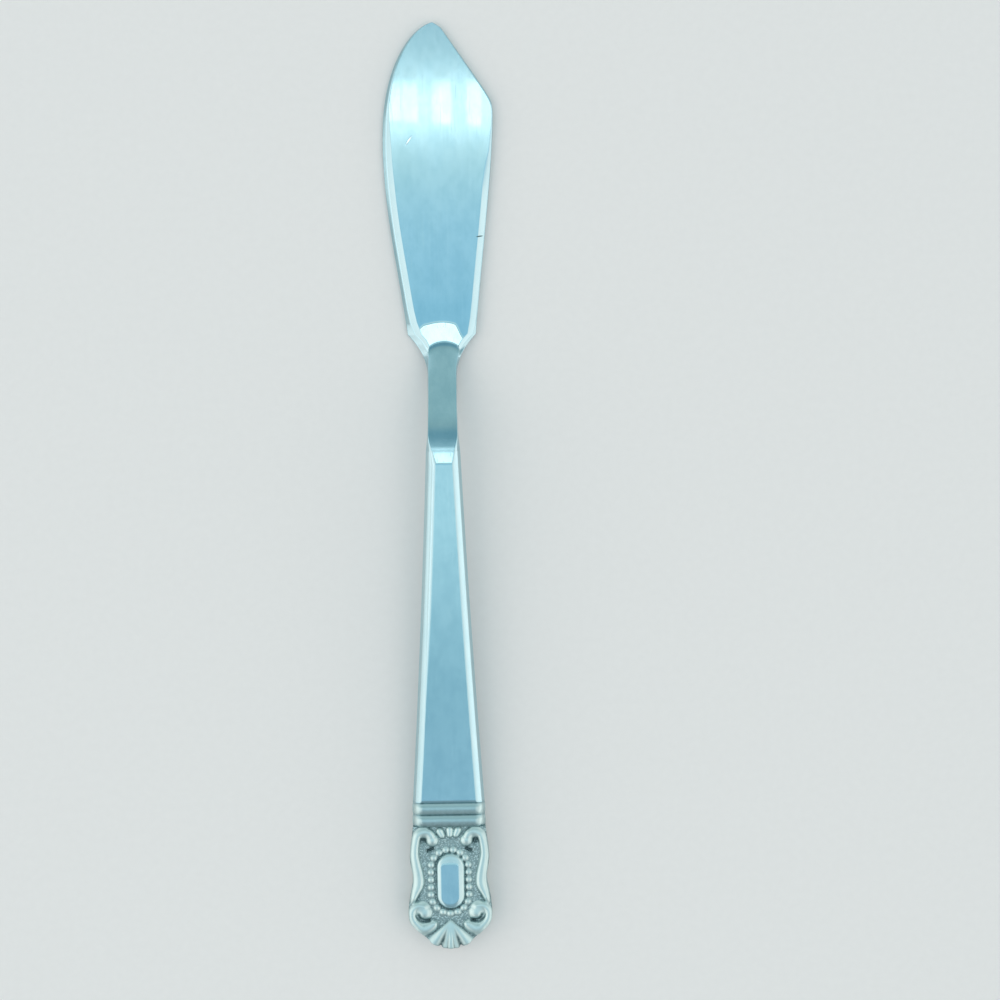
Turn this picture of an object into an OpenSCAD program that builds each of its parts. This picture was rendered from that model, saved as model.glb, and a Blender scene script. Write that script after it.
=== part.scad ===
// Butter spreader with a flat paddle blade, a cranked neck and a hollow handle.
// The handle is two struck half shells that meet on a flat seam. The blade's tang runs
// into them through the mouth and is held by a filling of hard cement.
// The tip points along +Y, the patterned face is up, and the flat underside of the blade
// and the scrolls at the tail rest on Z = 0.

/* [Blade] */
// Length from the heel corners to the tip
blade_l = 58; // [48:0.5:72]
// Reach of the curved edge to the left of the handle's axis
blade_left = 10.5; // [9:0.1:13]
// Reach of the back edge to the right of the handle's axis
blade_right = 10.3; // [9:0.1:13]
// Place of the tip across the blade, from the handle's axis
tip_x = -1.1; // [-2.5:0.1:1]
// Distance from the tip to the widest place of the curved edge
belly_l = 22.9; // [18:0.1:30]
// Distance from the tip to the corner of the clipped back
clip_l = 15.1; // [11:0.1:20]
// Width across the heel corners
heel_w = 12.7; // [10:0.1:15]
// Thickness at the heel
heel_t = 1.9; // [1.6:0.05:2.6]
// Thickness at the tip
tip_t = 1.2; // [1:0.05:1.5]
// Width of the bevels along the upper face
blade_bevel_w = 1.15; // [0.6:0.05:1.5]
// Drop of these bevels
blade_bevel_drop = 0.35; // [0.2:0.05:0.4]
// Width of the steep facet outside the bevel on the curved edge
edge_facet_w = 0.65; // [0.3:0.05:0.9]
// Width of the steep facet outside the bevel on the back
back_facet_w = 0.12; // [0.05:0.01:0.3]
// Thickness left at the curved edge
edge_t = 0.35; // [0.2:0.05:0.45]
// Bevel along the lower edges, across and up
under_bevel = 0.3; // [0.2:0.05:0.4]

/* [Neck] */
// Length from the heel corners to the mouth of the handle
neck_l = 21.7; // [17:0.1:30]
// Length over which the heel runs down to the neck's width
shoulder_l = 7.6; // [6:0.1:10]
// Width of the neck at its narrowest
neck_w = 5.5; // [4.5:0.1:6.5]
// Height that the neck climbs from the blade to the handle
neck_rise = 6.2; // [3:0.1:9]
// Length of the bend where the neck leaves the blade
heel_bend_l = 2; // [1:0.1:4]
// Length of the bend where the neck meets the handle
mouth_bend_l = 3.5; // [2:0.1:5]
// Width of the bevels along the neck at its narrowest
neck_bevel_w = 0.5; // [0.3:0.05:0.8]

/* [Tang] */
// Length of the tang inside the handle
tang_l = 40; // [25:0.5:55]
// Width of the tang
tang_w = 3; // [2.4:0.1:3.4]
// Thickness of the tang
tang_t = 1.4; // [1:0.1:1.8]

/* [Handle] */
// Length from the mouth to the tail end
handle_l = 92.2; // [75:0.5:110]
// Width at the mouth
mouth_w = 6.3; // [5.8:0.1:7.5]
// Thickness at the mouth
mouth_t = 3.5; // [3:0.05:3.9]
// Length of the sloping facet at the mouth
mouth_facet_l = 2.4; // [1:0.1:3]
// Width at the tail end of the plain panel
panel_w = 13.3; // [11:0.1:14]
// Drawing-in of each side halfway along the plain panel
panel_waist = 0.2; // [0:0.05:0.3]
// Thickness over the two plain panels
panel_t = 4.4; // [4:0.05:5]
// Width of the bevels beside the panels
panel_bevel_w = 1.1; // [0.8:0.05:1.3]
// Height of the side walls, from edge to edge
side_t = 2.6; // [1.8:0.1:2.8]
// Lean of each side wall from the seam to the bevel
side_lean = 0.45; // [0.2:0.05:0.5]
// Thickness of the struck sheet
shell_wall = 0.7; // [0.5:0.05:0.9]
// Thickness of the wall across the mouth
mouth_wall = 1.2; // [0.8:0.1:2]

/* [Bands] */
// Number of rounded bands across the handle
band_count = 2; // [1:1:4]
// Distance from band to band
band_pitch = 2.2; // [1.6:0.1:2.8]
// Height of the bands over the grooves between them
band_h = 0.5; // [0.3:0.05:0.7]

/* [Terminal] */
// Length of the patterned terminal
terminal_l = 22.5; // [21.5:0.1:25]
// Width across the lower scrolls
terminal_w = 15.3; // [14.5:0.1:17]
// Thickness between the sunk grounds of the two faces
ground_t = 3.1; // [2.8:0.05:3.5]
// Height of the scrolls over the ground
relief_h = 0.75; // [0.5:0.05:0.9]
// Width of the scrolls along the sides
scroll_w = 1.5; // [1.2:0.05:1.7]
// Width of the oval boss
boss_w = 5.1; // [4:0.1:5.6]
// Length of the oval boss
boss_l = 10; // [8:0.1:10.2]
// Width of the sloping rim of the boss
boss_rim = 0.85; // [0.4:0.05:1.2]
// Diameter of the beads round the boss
bead_d = 1.2; // [0.8:0.05:1.25]
// Distance from the boss to the ring of bead centres
bead_offset = 0.95; // [0.85:0.05:1.1]
// Distance from bead to bead
bead_pitch = 1.38; // [1.26:0.02:1.8]
// Length of the shell fan, from its point to the tail end
fan_r = 5.4; // [4.8:0.1:5.8]
// Spread of the shell fan in degrees
fan_spread = 100; // [80:1:110]
// Height of the shell fan over the ground
fan_h = 0.5; // [0.3:0.05:0.55]
// Length of the petals under the bands
petal_l = 2.3; // [1.6:0.1:2.5]
// Width of the petals
petal_w = 1.25; // [0.8:0.05:1.35]

/* [Fits] */
// Gap between the blade and the handle, and round the cement
fit_gap = 0.05; // [0.02:0.01:0.1]
// Thickness of the solder between the two shells
solder_t = 0.02; // [0.01:0.01:0.04]

/* [Hidden] */

SILVER = [0.66, 0.79, 0.84];
STEEL = [0.62, 0.75, 0.80];
CEMENT = [0.27, 0.20, 0.15];

// Fineness of round forms
DOME_FN = 14;
BEAD_FN = 8;
SCROLL_STEPS = 3;
SCROLL_SIDES = 6;
SPIRAL_STEPS = 2;
FLUTE_STEPS = 4;
BAND_STEPS = 8;
PANEL_STEPS = 6;
// Depth of a dome's widest place under the ground
DOME_SINK = 0.12;
// Depth under the seam from which the forms of a shell rise, before they are cut off at the seam
UNDER = 1;
// Overlap of the terminal's ground with the bands
LAP = 0.1;
// Distance of the hollow in the terminal from the scrolls at its sides
POCKET_INSET = 2;
// A scroll narrower than 1 / SCROLL_FULLNESS of scroll_w is lower too
SCROLL_FULLNESS = 1.4;

// Shape of the blade's curved edge and back
BELLY_POWER = 2.3;
BELLY_ROUND = 1.6;
NOSE_W = 1.15;
NOSE_FLAT = 0.02;
NOSE_POWER = 0.4;
CLIP_ROUND = 0.84;
BACK_SLOPE = -0.035;
HEEL_SLOPE_LEFT = -0.125;
HEEL_SLOPE_RIGHT = -0.09;
SHOULDER_SLOPE = -0.95;
MOUTH_SLOPE = 0.12;
// Stretch with close sections round the corner of the back, as shares of clip_l from the tip
CORNER_FROM = 0.87;
CORNER_TO = 1.2;
// Largest share of the blade's width that a bevel and its facet take near the tip
BEVEL_SHARE = 0.3;
// Half the height of the flat at the widest place of the mouth
SEAM_FLAT = 0.05;

// Heights on the handle, from the seam
panel_h = panel_t / 2;
mouth_h = mouth_t / 2;
side_h = side_t / 2;
ground_h = ground_t / 2;
crest_h = ground_h + relief_h;
groove_h = panel_h - band_h / 2;
// The bevels keep their slope over the facet at the mouth, so they are narrower there
mouth_bevel_w = panel_bevel_w * (mouth_h - side_h) / (panel_h - side_h);
BAND_OVERHANG = 0.12;
bands_l = band_count * band_pitch;
panel_l = handle_l - terminal_l - bands_l;

// The rising neck: slope of its straight stretch, and where the handle starts
rise_run = neck_l - heel_bend_l / 2 - mouth_bend_l / 2;
rise_slope = neck_rise / rise_run;
mouth_z = heel_t / 2 + neck_rise;

// Outline of one side of the terminal, from the bands to the fan, as [share of half its width,
// share of its length from the tail end]
EDGE = [
    [0.877, 0.993], [0.946, 0.764], [0.888, 0.591], [0.968, 0.427],
    [1, 0.302], [0.961, 0.218], [0.785, 0.151], [0.54, 0.096]
];

// Upper scroll of one side, from its head to its foot, with its width over scroll_w
UPPER_SCROLL = [
    [0.426, 0.922, 1.15], [0.484, 0.951, 1.2], [0.574, 0.96, 1.15], [0.697, 0.947, 1.07],
    [0.774, 0.911, 1], [0.826, 0.791, 1], [0.781, 0.689, 1.13], [0.735, 0.6, 1.25],
    [0.742, 0.529, 1.25], [0.826, 0.462, 0.95], [0.89, 0.404, 0.6], [0.91, 0.369, 0.2]
];
UPPER_HEAD = [0.415, 0.896, 1.45];

// Lower scroll of one side: it turns round its head, from a blunt tip under the head, out
// round the side and into the head from above. Each place is an angle round the head, the
// distance from the head and the width, the last two over scroll_w.
LOWER_HEAD = [0.632, 0.298, 1.9];
LOWER_SCROLL = [
    [222, 1.83, 0.2], [225, 1.83, 0.8], [229, 1.83, 1.07], [237, 1.83, 1.37], [254, 1.93, 1.5],
    [270, 1.98, 1.53], [286, 1.85, 1.4], [300, 1.68, 1.23], [330, 1.55, 1.08], [360, 1.47, 1.05],
    [390, 1.3, 1.02], [420, 1.05, 1], [450, 0.75, 0.93], [475, 0.55, 0.85], [500, 0.47, 0.7]
];

// Centre of the boss, halfway between the fan's point and the petals
boss_y = (fan_r + terminal_l - petal_l - LAP) / 2 - LAP;
boss_straight = boss_l - boss_w;
boss_h = relief_h * 0.93;
bead_r = boss_w / 2 + bead_offset;
bead_run = 2 * PI * bead_r + 2 * boss_straight;
bead_count = round(bead_run / bead_pitch);
BEAD_TURN = 17;
FLUTE_SHARES = [2, 1, 1, 1, 2];
// Reach of the flutes and of the fan's two corners, over fan_r, and of the grooves over the flutes
FLUTE_REACH = [1.04, 1, 1, 1, 1.04];
FAN_CORNER = 1.01;
FLUTE_END = 0.93;
FAN_POINT = 0.3;
FAN_STEPS = 5;
petal_h = relief_h * 0.7;
PETAL_LEAN = 10;
PETAL_SPACING = 1.5;
PETAL_DROP = 0.55;

// The handle dips until the lower scrolls touch the surface that the blade lies on
contact_l = handle_l - min([for (p = lower_path()) p[1]]);
tilt = asin(mouth_z / norm([contact_l, crest_h])) - atan2(crest_h, contact_l);

// Place of the mouth in the part's frame: the box round the whole part is centred on X and Y
blade_reach = [for (d = blade_stations()) [blade_x_left(d), blade_x_right(d)]];
axis_x = -(min([for (r = blade_reach) r[0]]) + max([for (r = blade_reach) r[1]])) / 2;
tip_y = neck_l + blade_l;
tail_y = -handle_l * cos(tilt) - ground_h * sin(tilt);
mouth_y = -(tip_y + tail_y) / 2;

// Cubic from [place, value, slope] p to q
function hermite(p, q, x) =
    let (l = q[0] - p[0], t = (x - p[0]) / l)
    p[1] * (2 * t ^ 3 - 3 * t ^ 2 + 1) + p[2] * l * (t ^ 3 - 2 * t ^ 2 + t)
    + q[1] * (3 * t ^ 2 - 2 * t ^ 3) + q[2] * l * (t ^ 3 - t ^ 2);

function reverse(list) = [for (i = [len(list) - 1 : -1 : 0]) list[i]];

// The lower of two values, with a rounded corner
function round_min(a, b, k) = (a + b - sqrt((a - b) ^ 2 + k ^ 2)) / 2;

// Smooth curve through a list of points
function between(a, b, c, d, t) =
    (2 * b + (c - a) * t + (2 * a - 5 * b + 4 * c - d) * t ^ 2 + (3 * b - a - 3 * c + d) * t ^ 3) / 2;
function smooth(p, steps) = [
    for (i = [0 : len(p) - 2], k = [0 : steps - 1])
        between(p[max(i - 1, 0)], p[i], p[i + 1], p[min(i + 2, len(p) - 1)], k / steps),
    p[len(p) - 1]
];

// Blade outline at a distance d from the tip
function blade_x_left(d) =
    d < belly_l
    ? tip_x - (blade_left + tip_x) * (1 - (1 - d / belly_l) ^ BELLY_POWER) ^ (1 / BELLY_ROUND)
    : -hermite([belly_l, blade_left, 0], [blade_l, heel_w / 2, HEEL_SLOPE_LEFT], d);
function blade_back(d) =
    d < clip_l
    ? blade_right + BACK_SLOPE * (d - clip_l)
    : hermite([clip_l, blade_right, BACK_SLOPE], [blade_l, heel_w / 2, HEEL_SLOPE_RIGHT], d);
function blade_clip(d) =
    let (line = blade_right + (d / clip_l - 1) * (blade_right - tip_x - NOSE_W))
    tip_x + (line - tip_x) * min((d + NOSE_FLAT) ^ NOSE_POWER, 1);
function blade_x_right(d) =
    let (k = CLIP_ROUND * min(d / clip_l, (blade_l - d) / (blade_l - clip_l)))
    round_min(blade_clip(d), blade_back(d), k);
function blade_stations() = concat(
    [for (i = [0 : 9]) clip_l * CORNER_FROM * (i / 9) ^ 2],
    [for (i = [1 : 5]) clip_l * (CORNER_FROM + (CORNER_TO - CORNER_FROM) * i / 5)],
    [for (i = [1 : 8]) clip_l * CORNER_TO + (blade_l - clip_l * CORNER_TO) * i / 8]
);

// Neck outline, slope and height at a distance e from the heel corners towards the handle
function neck_half_w(e) =
    e < shoulder_l
    ? hermite([0, heel_w / 2, SHOULDER_SLOPE], [shoulder_l, neck_w / 2, 0], e)
    : hermite([shoulder_l, neck_w / 2, 0], [neck_l, mouth_w / 2, MOUTH_SLOPE], e);
function neck_climb(e) =
    let (e3 = neck_l - mouth_bend_l)
    e < heel_bend_l ? rise_slope * e ^ 2 / (2 * heel_bend_l)
    : e < e3 ? rise_slope * (e - heel_bend_l / 2)
    : neck_rise - rise_slope * (neck_l - e) ^ 2 / (2 * mouth_bend_l);
function neck_stations() = concat(
    [for (i = [1 : 8]) shoulder_l * i / 8],
    [for (i = [1 : 4]) shoulder_l + (neck_l - mouth_bend_l - shoulder_l) * i / 4],
    [for (i = [1 : 3]) neck_l - mouth_bend_l + mouth_bend_l * i / 4]
);

// One side of a section of the blade or neck, from the underside up, as [inset from the edge, height]
function side_points(lo, hi, facet, foot, bevel, top, under) =
    [[under, 0], [under / 2, lo / 2], [0, lo], [0, hi], [facet, foot], [facet + bevel, top]];

// Blade section at its full thickness t; q narrows the bevels near the tip
function edge_side(t, q) =
    side_points(under_bevel, under_bevel + edge_t, edge_facet_w * q, t - blade_bevel_drop * q,
                blade_bevel_w * q, t, under_bevel * q);
function back_side(t, q) =
    side_points(under_bevel, t - blade_bevel_drop * q - back_facet_w, back_facet_w * q,
                t - blade_bevel_drop * q, blade_bevel_w * q, t, under_bevel * q);

// Section of the handle's mouth, where the neck ends
mouth_side = [
    [side_lean + mouth_bevel_w, 0], [side_lean, mouth_h - side_h], [0, mouth_h - SEAM_FLAT],
    [0, mouth_h + SEAM_FLAT], [side_lean, mouth_h + side_h], [side_lean + mouth_bevel_w, mouth_t]
];

// Ring between the edges l and r, standing at the height z, from the points of its two sides
function ring(y, l, r, z, left, right) = concat(
    [for (p = left) [axis_x + l + p[0], mouth_y + y, z + p[1]]],
    [for (p = reverse(right)) [axis_x + r - p[0], mouth_y + y, z + p[1]]]
);

function blade_ring(d) =
    let (
        l = blade_x_left(d),
        r = blade_x_right(d),
        t = tip_t + (heel_t - tip_t) * d / blade_l,
        q = min(1, BEVEL_SHARE * (r - l) / (edge_facet_w + blade_bevel_w))
    )
    ring(tip_y - d, l, r, 0, edge_side(t, q), back_side(t, q));

// Ring of the neck: the blade's section grows into the section of the mouth, and its bevels
// are narrow in between
function neck_pinch(e) =
    let (share = neck_bevel_w / (side_lean + mouth_bevel_w), e3 = neck_l - mouth_bend_l)
    e < shoulder_l ? hermite([0, 1, 0], [shoulder_l, share, 0], e)
    : e < e3 ? share
    : hermite([e3, share, 0], [neck_l, 1, 0], e);
function neck_side(heel_side, e) =
    [for (i = [0 : len(mouth_side) - 1])
        let (p = heel_side[i] + (mouth_side[i] - heel_side[i]) * e / neck_l)
        [p[0] * neck_pinch(e), p[1]]];
function neck_ring(e) =
    let (
        w = neck_half_w(e),
        t = heel_t + (mouth_t - heel_t) * e / neck_l,
        z = heel_t / 2 + neck_climb(e) - t / 2
    )
    ring(neck_l - e, -w, w, z, neck_side(edge_side(heel_t, 1), e), neck_side(back_side(heel_t, 1), e));

// A point given on the handle, [across, along from the tail end, height over the seam], in the part's frame
function on_handle(p) = [
    axis_x + p[0],
    mouth_y + (p[1] - handle_l) * cos(tilt) - p[2] * sin(tilt),
    mouth_z + (p[1] - handle_l) * sin(tilt) + p[2] * cos(tilt)
];

// Last ring of the neck, square to the handle at its mouth
function shoulder_ring() = concat(
    [for (p = mouth_side) on_handle([p[0] - mouth_w / 2, handle_l + fit_gap, p[1] - mouth_h])],
    [for (p = reverse(mouth_side)) on_handle([mouth_w / 2 - p[0], handle_l + fit_gap, p[1] - mouth_h])]
);

// Plain handle: half width, and section over the seam
function handle_half_w(y) =
    let (f = (handle_l - y) / panel_l)
    mouth_w / 2 + (panel_w - mouth_w) / 2 * f - 4 * panel_waist * f * (1 - f);
function half_section(w, h, bevel, y, low) =
    [[-w, y, low], [-w, y, 0], [-w + side_lean, y, side_h], [-w + side_lean + bevel, y, h],
     [w - side_lean - bevel, y, h], [w - side_lean, y, side_h], [w, y, 0], [w, y, low]];
function band_height(y) =
    let (q = (y - terminal_l) / band_pitch, f = q - floor(q))
    groove_h + band_h * sqrt(max(1 - (2 * f - 1) ^ 2, 0));
function band_stations() = [
    for (b = [0 : band_count - 1], i = [0 : BAND_STEPS - 1])
        terminal_l + band_pitch * (b + (1 - cos(180 * i / BAND_STEPS)) / 2),
    terminal_l + bands_l
];
function panel_stations() =
    let (from = terminal_l + bands_l + band_h / 2, to = handle_l - mouth_facet_l)
    [for (i = [0 : PANEL_STEPS]) from + (to - from) * i / PANEL_STEPS];
function body_rings(low) = concat(
    [for (y = band_stations())
        half_section(panel_w / 2 + BAND_OVERHANG, band_height(y), panel_bevel_w, y, low)],
    [for (y = panel_stations()) half_section(handle_half_w(y), panel_h, panel_bevel_w, y, low)],
    [half_section(mouth_w / 2, mouth_h, mouth_bevel_w, handle_l, low)]
);

// Space inside one shell, less a margin: a shallow pocket in the terminal and a deep one in the panel
function hollow_section(w, h, y, low) =
    let (c = min(panel_bevel_w, h / 2))
    [[-w, y, low], [-w, y, h - c], [-w + c, y, h], [w - c, y, h], [w, y, h - c], [w, y, low]];
function hollow_rings(margin, low) =
    let (
        pocket_w = terminal_w / 2 - POCKET_INSET - scroll_w - margin,
        pocket_h = ground_h - shell_wall - margin,
        deep_h = groove_h - shell_wall - margin,
        mid_y = handle_l - panel_l / 2,
        end_y = handle_l - mouth_wall - margin,
        inset = shell_wall + side_lean + margin,
        end_h = min(deep_h, mouth_h - shell_wall - margin)
    )
    [hollow_section(pocket_w / 2, pocket_h, fan_r + margin, low),
     hollow_section(pocket_w, pocket_h, boss_y - boss_l / 4, low),
     hollow_section(pocket_w, pocket_h, terminal_l - margin, low),
     hollow_section(panel_w / 2 - inset, deep_h, terminal_l + shell_wall + margin, low),
     hollow_section(panel_w / 2 - inset, deep_h, terminal_l + bands_l, low),
     hollow_section(handle_half_w(mid_y) - inset, (deep_h + end_h) / 2, mid_y, low),
     hollow_section(handle_half_w(end_y) - inset, end_h, end_y, low)];

// Solid through a row of rings
module loft(rings) {
    n = len(rings[0]);
    last = len(rings) - 1;
    sides = [
        for (i = [0 : last - 1], j = [0 : n - 1])
            each [
                [i * n + j, (i + 1) * n + j, (i + 1) * n + (j + 1) % n],
                [i * n + j, (i + 1) * n + (j + 1) % n, i * n + (j + 1) % n]
            ]
    ];
    start = [[for (j = [0 : n - 1]) j]];
    end = [[for (j = [n - 1 : -1 : 0]) last * n + j]];
    polyhedron(points = [for (r = rings) each r], faces = concat(sides, start, end));
}

module place_on_handle() {
    translate([axis_x, mouth_y, mouth_z])
        rotate([tilt, 0, 0])
            translate([0, -handle_l, 0])
                children();
}

// Round-topped peg from below the seam up; p is [across, along, width]
module peg(p, h) {
    translate([p[0], p[1], -UNDER])
        cylinder(d = p[2], h = UNDER + ground_h - DOME_SINK, $fn = DOME_FN);
    translate([p[0], p[1], ground_h - DOME_SINK])
        scale([1, 1, 2 * (h + DOME_SINK) / p[2]])
            sphere(d = p[2], $fn = DOME_FN);
}

// Paths of the scrolls as [across, along, width]
function scroll_point(p) = [p[0] * terminal_w / 2, p[1] * terminal_l, p[2] * scroll_w];
function upper_path() = smooth([for (p = UPPER_SCROLL) scroll_point(p)], SCROLL_STEPS);
function lower_path() =
    let (head = scroll_point(LOWER_HEAD))
    [for (p = smooth(LOWER_SCROLL, SPIRAL_STEPS))
        [head[0] + scroll_w * p[1] * cos(p[0]), head[1] + scroll_w * p[1] * sin(p[0]), scroll_w * p[2]]];

// Ring of a scroll at place i of its path: walls from below the seam and a round top
function scroll_ring(path, i) =
    let (
        p = path[i],
        d = path[min(i + 1, len(path) - 1)] - path[max(i - 1, 0)],
        right = [d[1], -d[0]] / norm([d[0], d[1]]) * p[2] / 2,
        rise = (relief_h + DOME_SINK) * min(SCROLL_FULLNESS * p[2] / scroll_w, 1)
    )
    concat(
        [[p[0] - right[0], p[1] - right[1], -UNDER]],
        [for (a = [180 : -180 / SCROLL_SIDES : 0])
            [p[0] + right[0] * cos(a), p[1] + right[1] * cos(a), ground_h - DOME_SINK + rise * sin(a)]],
        [[p[0] + right[0], p[1] + right[1], -UNDER]]
    );

// A scroll: a round-topped band that follows a path and swells and tapers, with a domed head
module scroll(path, head) {
    loft([for (i = [0 : len(path) - 1]) scroll_ring(path, i)]);
    peg(scroll_point(head), relief_h);
}

module scroll_pair(path, head) {
    scroll(path, head);
    mirror([1, 0, 0])
        scroll(path, head);
}

// Oval boss with a flat top and a sloping rim
module boss() {
    translate([0, boss_y, 0])
        hull()
            for (side = [-1, 1])
                translate([0, side * boss_straight / 2, 0]) {
                    cylinder(d = boss_w, h = ground_h - DOME_SINK, $fn = 2 * DOME_FN);
                    cylinder(d = boss_w - boss_rim, h = ground_h + boss_h * 0.8, $fn = 2 * DOME_FN);
                    cylinder(d = boss_w - 2 * boss_rim, h = ground_h + boss_h, $fn = 2 * DOME_FN);
                }
}

// Point at a run q along the oval of beads, from its lowest point
function bead_point(q) =
    let (arc = PI * bead_r / 2, s = boss_straight, half = 2 * arc + s, m = q <= half ? q : 2 * half - q,
         side = q <= half ? 1 : -1)
    m < arc ? [side * bead_r * sin(90 * m / arc), -s / 2 - bead_r * cos(90 * m / arc)]
    : m < arc + s ? [side * bead_r, m - arc - s / 2]
    : [side * bead_r * cos(90 * (m - arc - s) / arc), s / 2 + bead_r * sin(90 * (m - arc - s) / arc)];

module beads() {
    for (i = [0 : bead_count - 1]) {
        p = bead_point(i * bead_run / bead_count);
        translate([p[0], boss_y + p[1], ground_h])
            rotate(i * BEAD_TURN)
                hull() {
                    sphere(d = bead_d, $fn = BEAD_FN);
                    translate([0, 0, -bead_d / 2])
                        cylinder(d = bead_d * 0.8, h = bead_d / 2, $fn = BEAD_FN);
                }
    }
}

// Shell fan: flutes that spread from a point to the tail end, the outer two twice as wide.
// Each flute is a round ridge, and its end swells past the grooves beside it.
flute_total = FLUTE_SHARES * [for (f = FLUTE_SHARES) 1];
function flute_start(i) = i == 0 ? 0 : flute_start(i - 1) + FLUTE_SHARES[i - 1];
fan_profile = [
    for (i = [0 : len(FLUTE_SHARES) - 1], k = [0 : FLUTE_STEPS - 1])
        let (crest = sin(180 * k / FLUTE_STEPS))
        [
            (flute_start(i) + FLUTE_SHARES[i] * k / FLUTE_STEPS) / flute_total,
            crest,
            i + k == 0 ? FAN_CORNER : FLUTE_REACH[i] * (FLUTE_END + (1 - FLUTE_END) * crest)
        ],
    [1, 0, FAN_CORNER]
];
function fan_point(f, r, z) = let (a = fan_spread * (f - 0.5)) [r * sin(a), fan_r - r * cos(a), z];
function fan_ring(k) =
    let (
        rise = sin(20 + 100 * k),
        base = ground_h - DOME_SINK,
        top = [
            for (q = reverse(fan_profile))
                fan_point(q[0], k * fan_r * q[2] + (1 - k) * FAN_POINT,
                          base + DOME_SINK / 2 + (fan_h + DOME_SINK / 2) * rise * (0.4 + 0.6 * q[1]))
        ]
    )
    concat([[top[0][0], top[0][1], -UNDER]], top, [[top[len(top) - 1][0], top[len(top) - 1][1], -UNDER]]);

module fan() {
    loft([for (i = [0 : FAN_STEPS]) fan_ring(i / FAN_STEPS)]);
}

// Three petals that lean apart under the bands
module petals() {
    for (i = [-1, 0, 1])
        translate([i * PETAL_SPACING, terminal_l - PETAL_DROP, 0])
            rotate(-i * PETAL_LEAN)
                hull() {
                    peg([0, 0, petal_w], petal_h);
                    peg([0, petal_w - petal_l, petal_w * 0.7], petal_h);
                }
}

// Sunk ground of the terminal, closed inside the lowest band and under the fan
module ground() {
    inner = [[UPPER_HEAD[0] * terminal_w / 2, terminal_l + LAP]];
    edge = smooth([for (p = EDGE) [p[0] * terminal_w / 2, p[1] * terminal_l]], SCROLL_STEPS);
    corner = fan_point(0.95, fan_r * 0.8, 0);
    half = concat(inner, edge, [[corner[0], corner[1]]]);
    translate([0, 0, -UNDER])
        linear_extrude(UNDER + ground_h)
            polygon(concat(half, [for (p = reverse(half)) [-p[0], p[1]]]));
}

// One struck half of the handle, over the seam
module half_shell() {
    difference() {
        union() {
            loft(body_rings(-UNDER));
            ground();
            scroll_pair(upper_path(), UPPER_HEAD);
            scroll_pair(lower_path(), LOWER_HEAD);
            boss();
            beads();
            fan();
            petals();
        }
        loft(hollow_rings(0, -UNDER));
        translate([-tang_w / 2 - fit_gap, handle_l - 2 * mouth_wall, -UNDER])
            cube([tang_w + 2 * fit_gap, 3 * mouth_wall, UNDER + tang_t / 2 + fit_gap]);
        translate([-terminal_w, -terminal_w, -2 * UNDER])
            cube([2 * terminal_w, handle_l + 2 * terminal_w, 2 * UNDER + solder_t / 2]);
    }
}

module tang(gap, extra) {
    translate([-tang_w / 2 - gap, handle_l - tang_l - gap, -tang_t / 2 - gap])
        cube([tang_w + 2 * gap, tang_l + gap + extra, tang_t + 2 * gap]);
}

module blade() {
    color(STEEL)
        union() {
            loft(concat([shoulder_ring()],
                        [for (e = reverse(neck_stations())) neck_ring(e)],
                        [for (d = reverse(blade_stations())) blade_ring(d)]));
            place_on_handle()
                tang(0, fit_gap + mouth_facet_l / 2);
        }
}

module handle_front() {
    color(SILVER)
        place_on_handle()
            half_shell();
}

module handle_back() {
    color(SILVER)
        place_on_handle()
            mirror([0, 0, 1])
                half_shell();
}

module handle_cement() {
    color(CEMENT)
        place_on_handle()
            difference() {
                union() {
                    loft(hollow_rings(fit_gap, 0));
                    mirror([0, 0, 1])
                        loft(hollow_rings(fit_gap, 0));
                }
                tang(fit_gap, mouth_wall);
            }
}

blade();
handle_front();
handle_back();
handle_cement();
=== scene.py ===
import math

import bpy
import bmesh
import numpy as np
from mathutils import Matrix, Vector
from mathutils.kdtree import KDTree


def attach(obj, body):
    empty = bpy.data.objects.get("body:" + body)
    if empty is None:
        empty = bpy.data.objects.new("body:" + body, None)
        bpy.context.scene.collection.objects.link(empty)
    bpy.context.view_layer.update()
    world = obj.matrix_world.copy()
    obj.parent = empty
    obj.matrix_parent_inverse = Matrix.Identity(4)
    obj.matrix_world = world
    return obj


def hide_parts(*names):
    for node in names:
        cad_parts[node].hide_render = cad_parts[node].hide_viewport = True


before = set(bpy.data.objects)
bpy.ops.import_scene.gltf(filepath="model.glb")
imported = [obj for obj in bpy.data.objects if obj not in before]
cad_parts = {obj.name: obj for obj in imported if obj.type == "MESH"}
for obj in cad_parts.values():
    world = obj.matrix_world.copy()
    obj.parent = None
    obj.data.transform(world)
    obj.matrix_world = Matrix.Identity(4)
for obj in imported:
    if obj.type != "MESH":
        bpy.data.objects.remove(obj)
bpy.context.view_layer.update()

scene = bpy.context.scene
scene.view_settings.view_transform = "Standard"

# Sizes in millimetres, as in the CAD model

MM = 0.001
BLADE_L, BLADE_LEFT, BLADE_RIGHT, TIP_X = 58.0, 10.5, 10.3, -1.1
BELLY_L, CLIP_L, HEEL_W, HEEL_T, TIP_T = 22.9, 15.1, 12.7, 1.9, 1.2
UNDER_BEVEL, EDGE_T, BACK_FACET = 0.3, 0.35, 0.12
NECK_L, SHOULDER_L, NECK_W, NECK_RISE = 21.7, 7.6, 5.5, 6.2
HEEL_BEND, MOUTH_BEND = 2.0, 3.5
TANG_L, TANG_W, TANG_T = 40.0, 3.0, 1.4
HANDLE_L, MOUTH_W, MOUTH_T, FACET_L = 92.2, 6.3, 3.5, 2.4
PANEL_W, PANEL_H, BEVEL_W, SIDE_H, SIDE_LEAN = 13.3, 2.2, 1.1, 1.3, 0.45
PANEL_WAIST, SHELL_WALL, MOUTH_WALL = 0.2, 0.7, 1.2
BANDS, BAND_PITCH, BAND_H = 2, 2.2, 0.5
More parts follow.
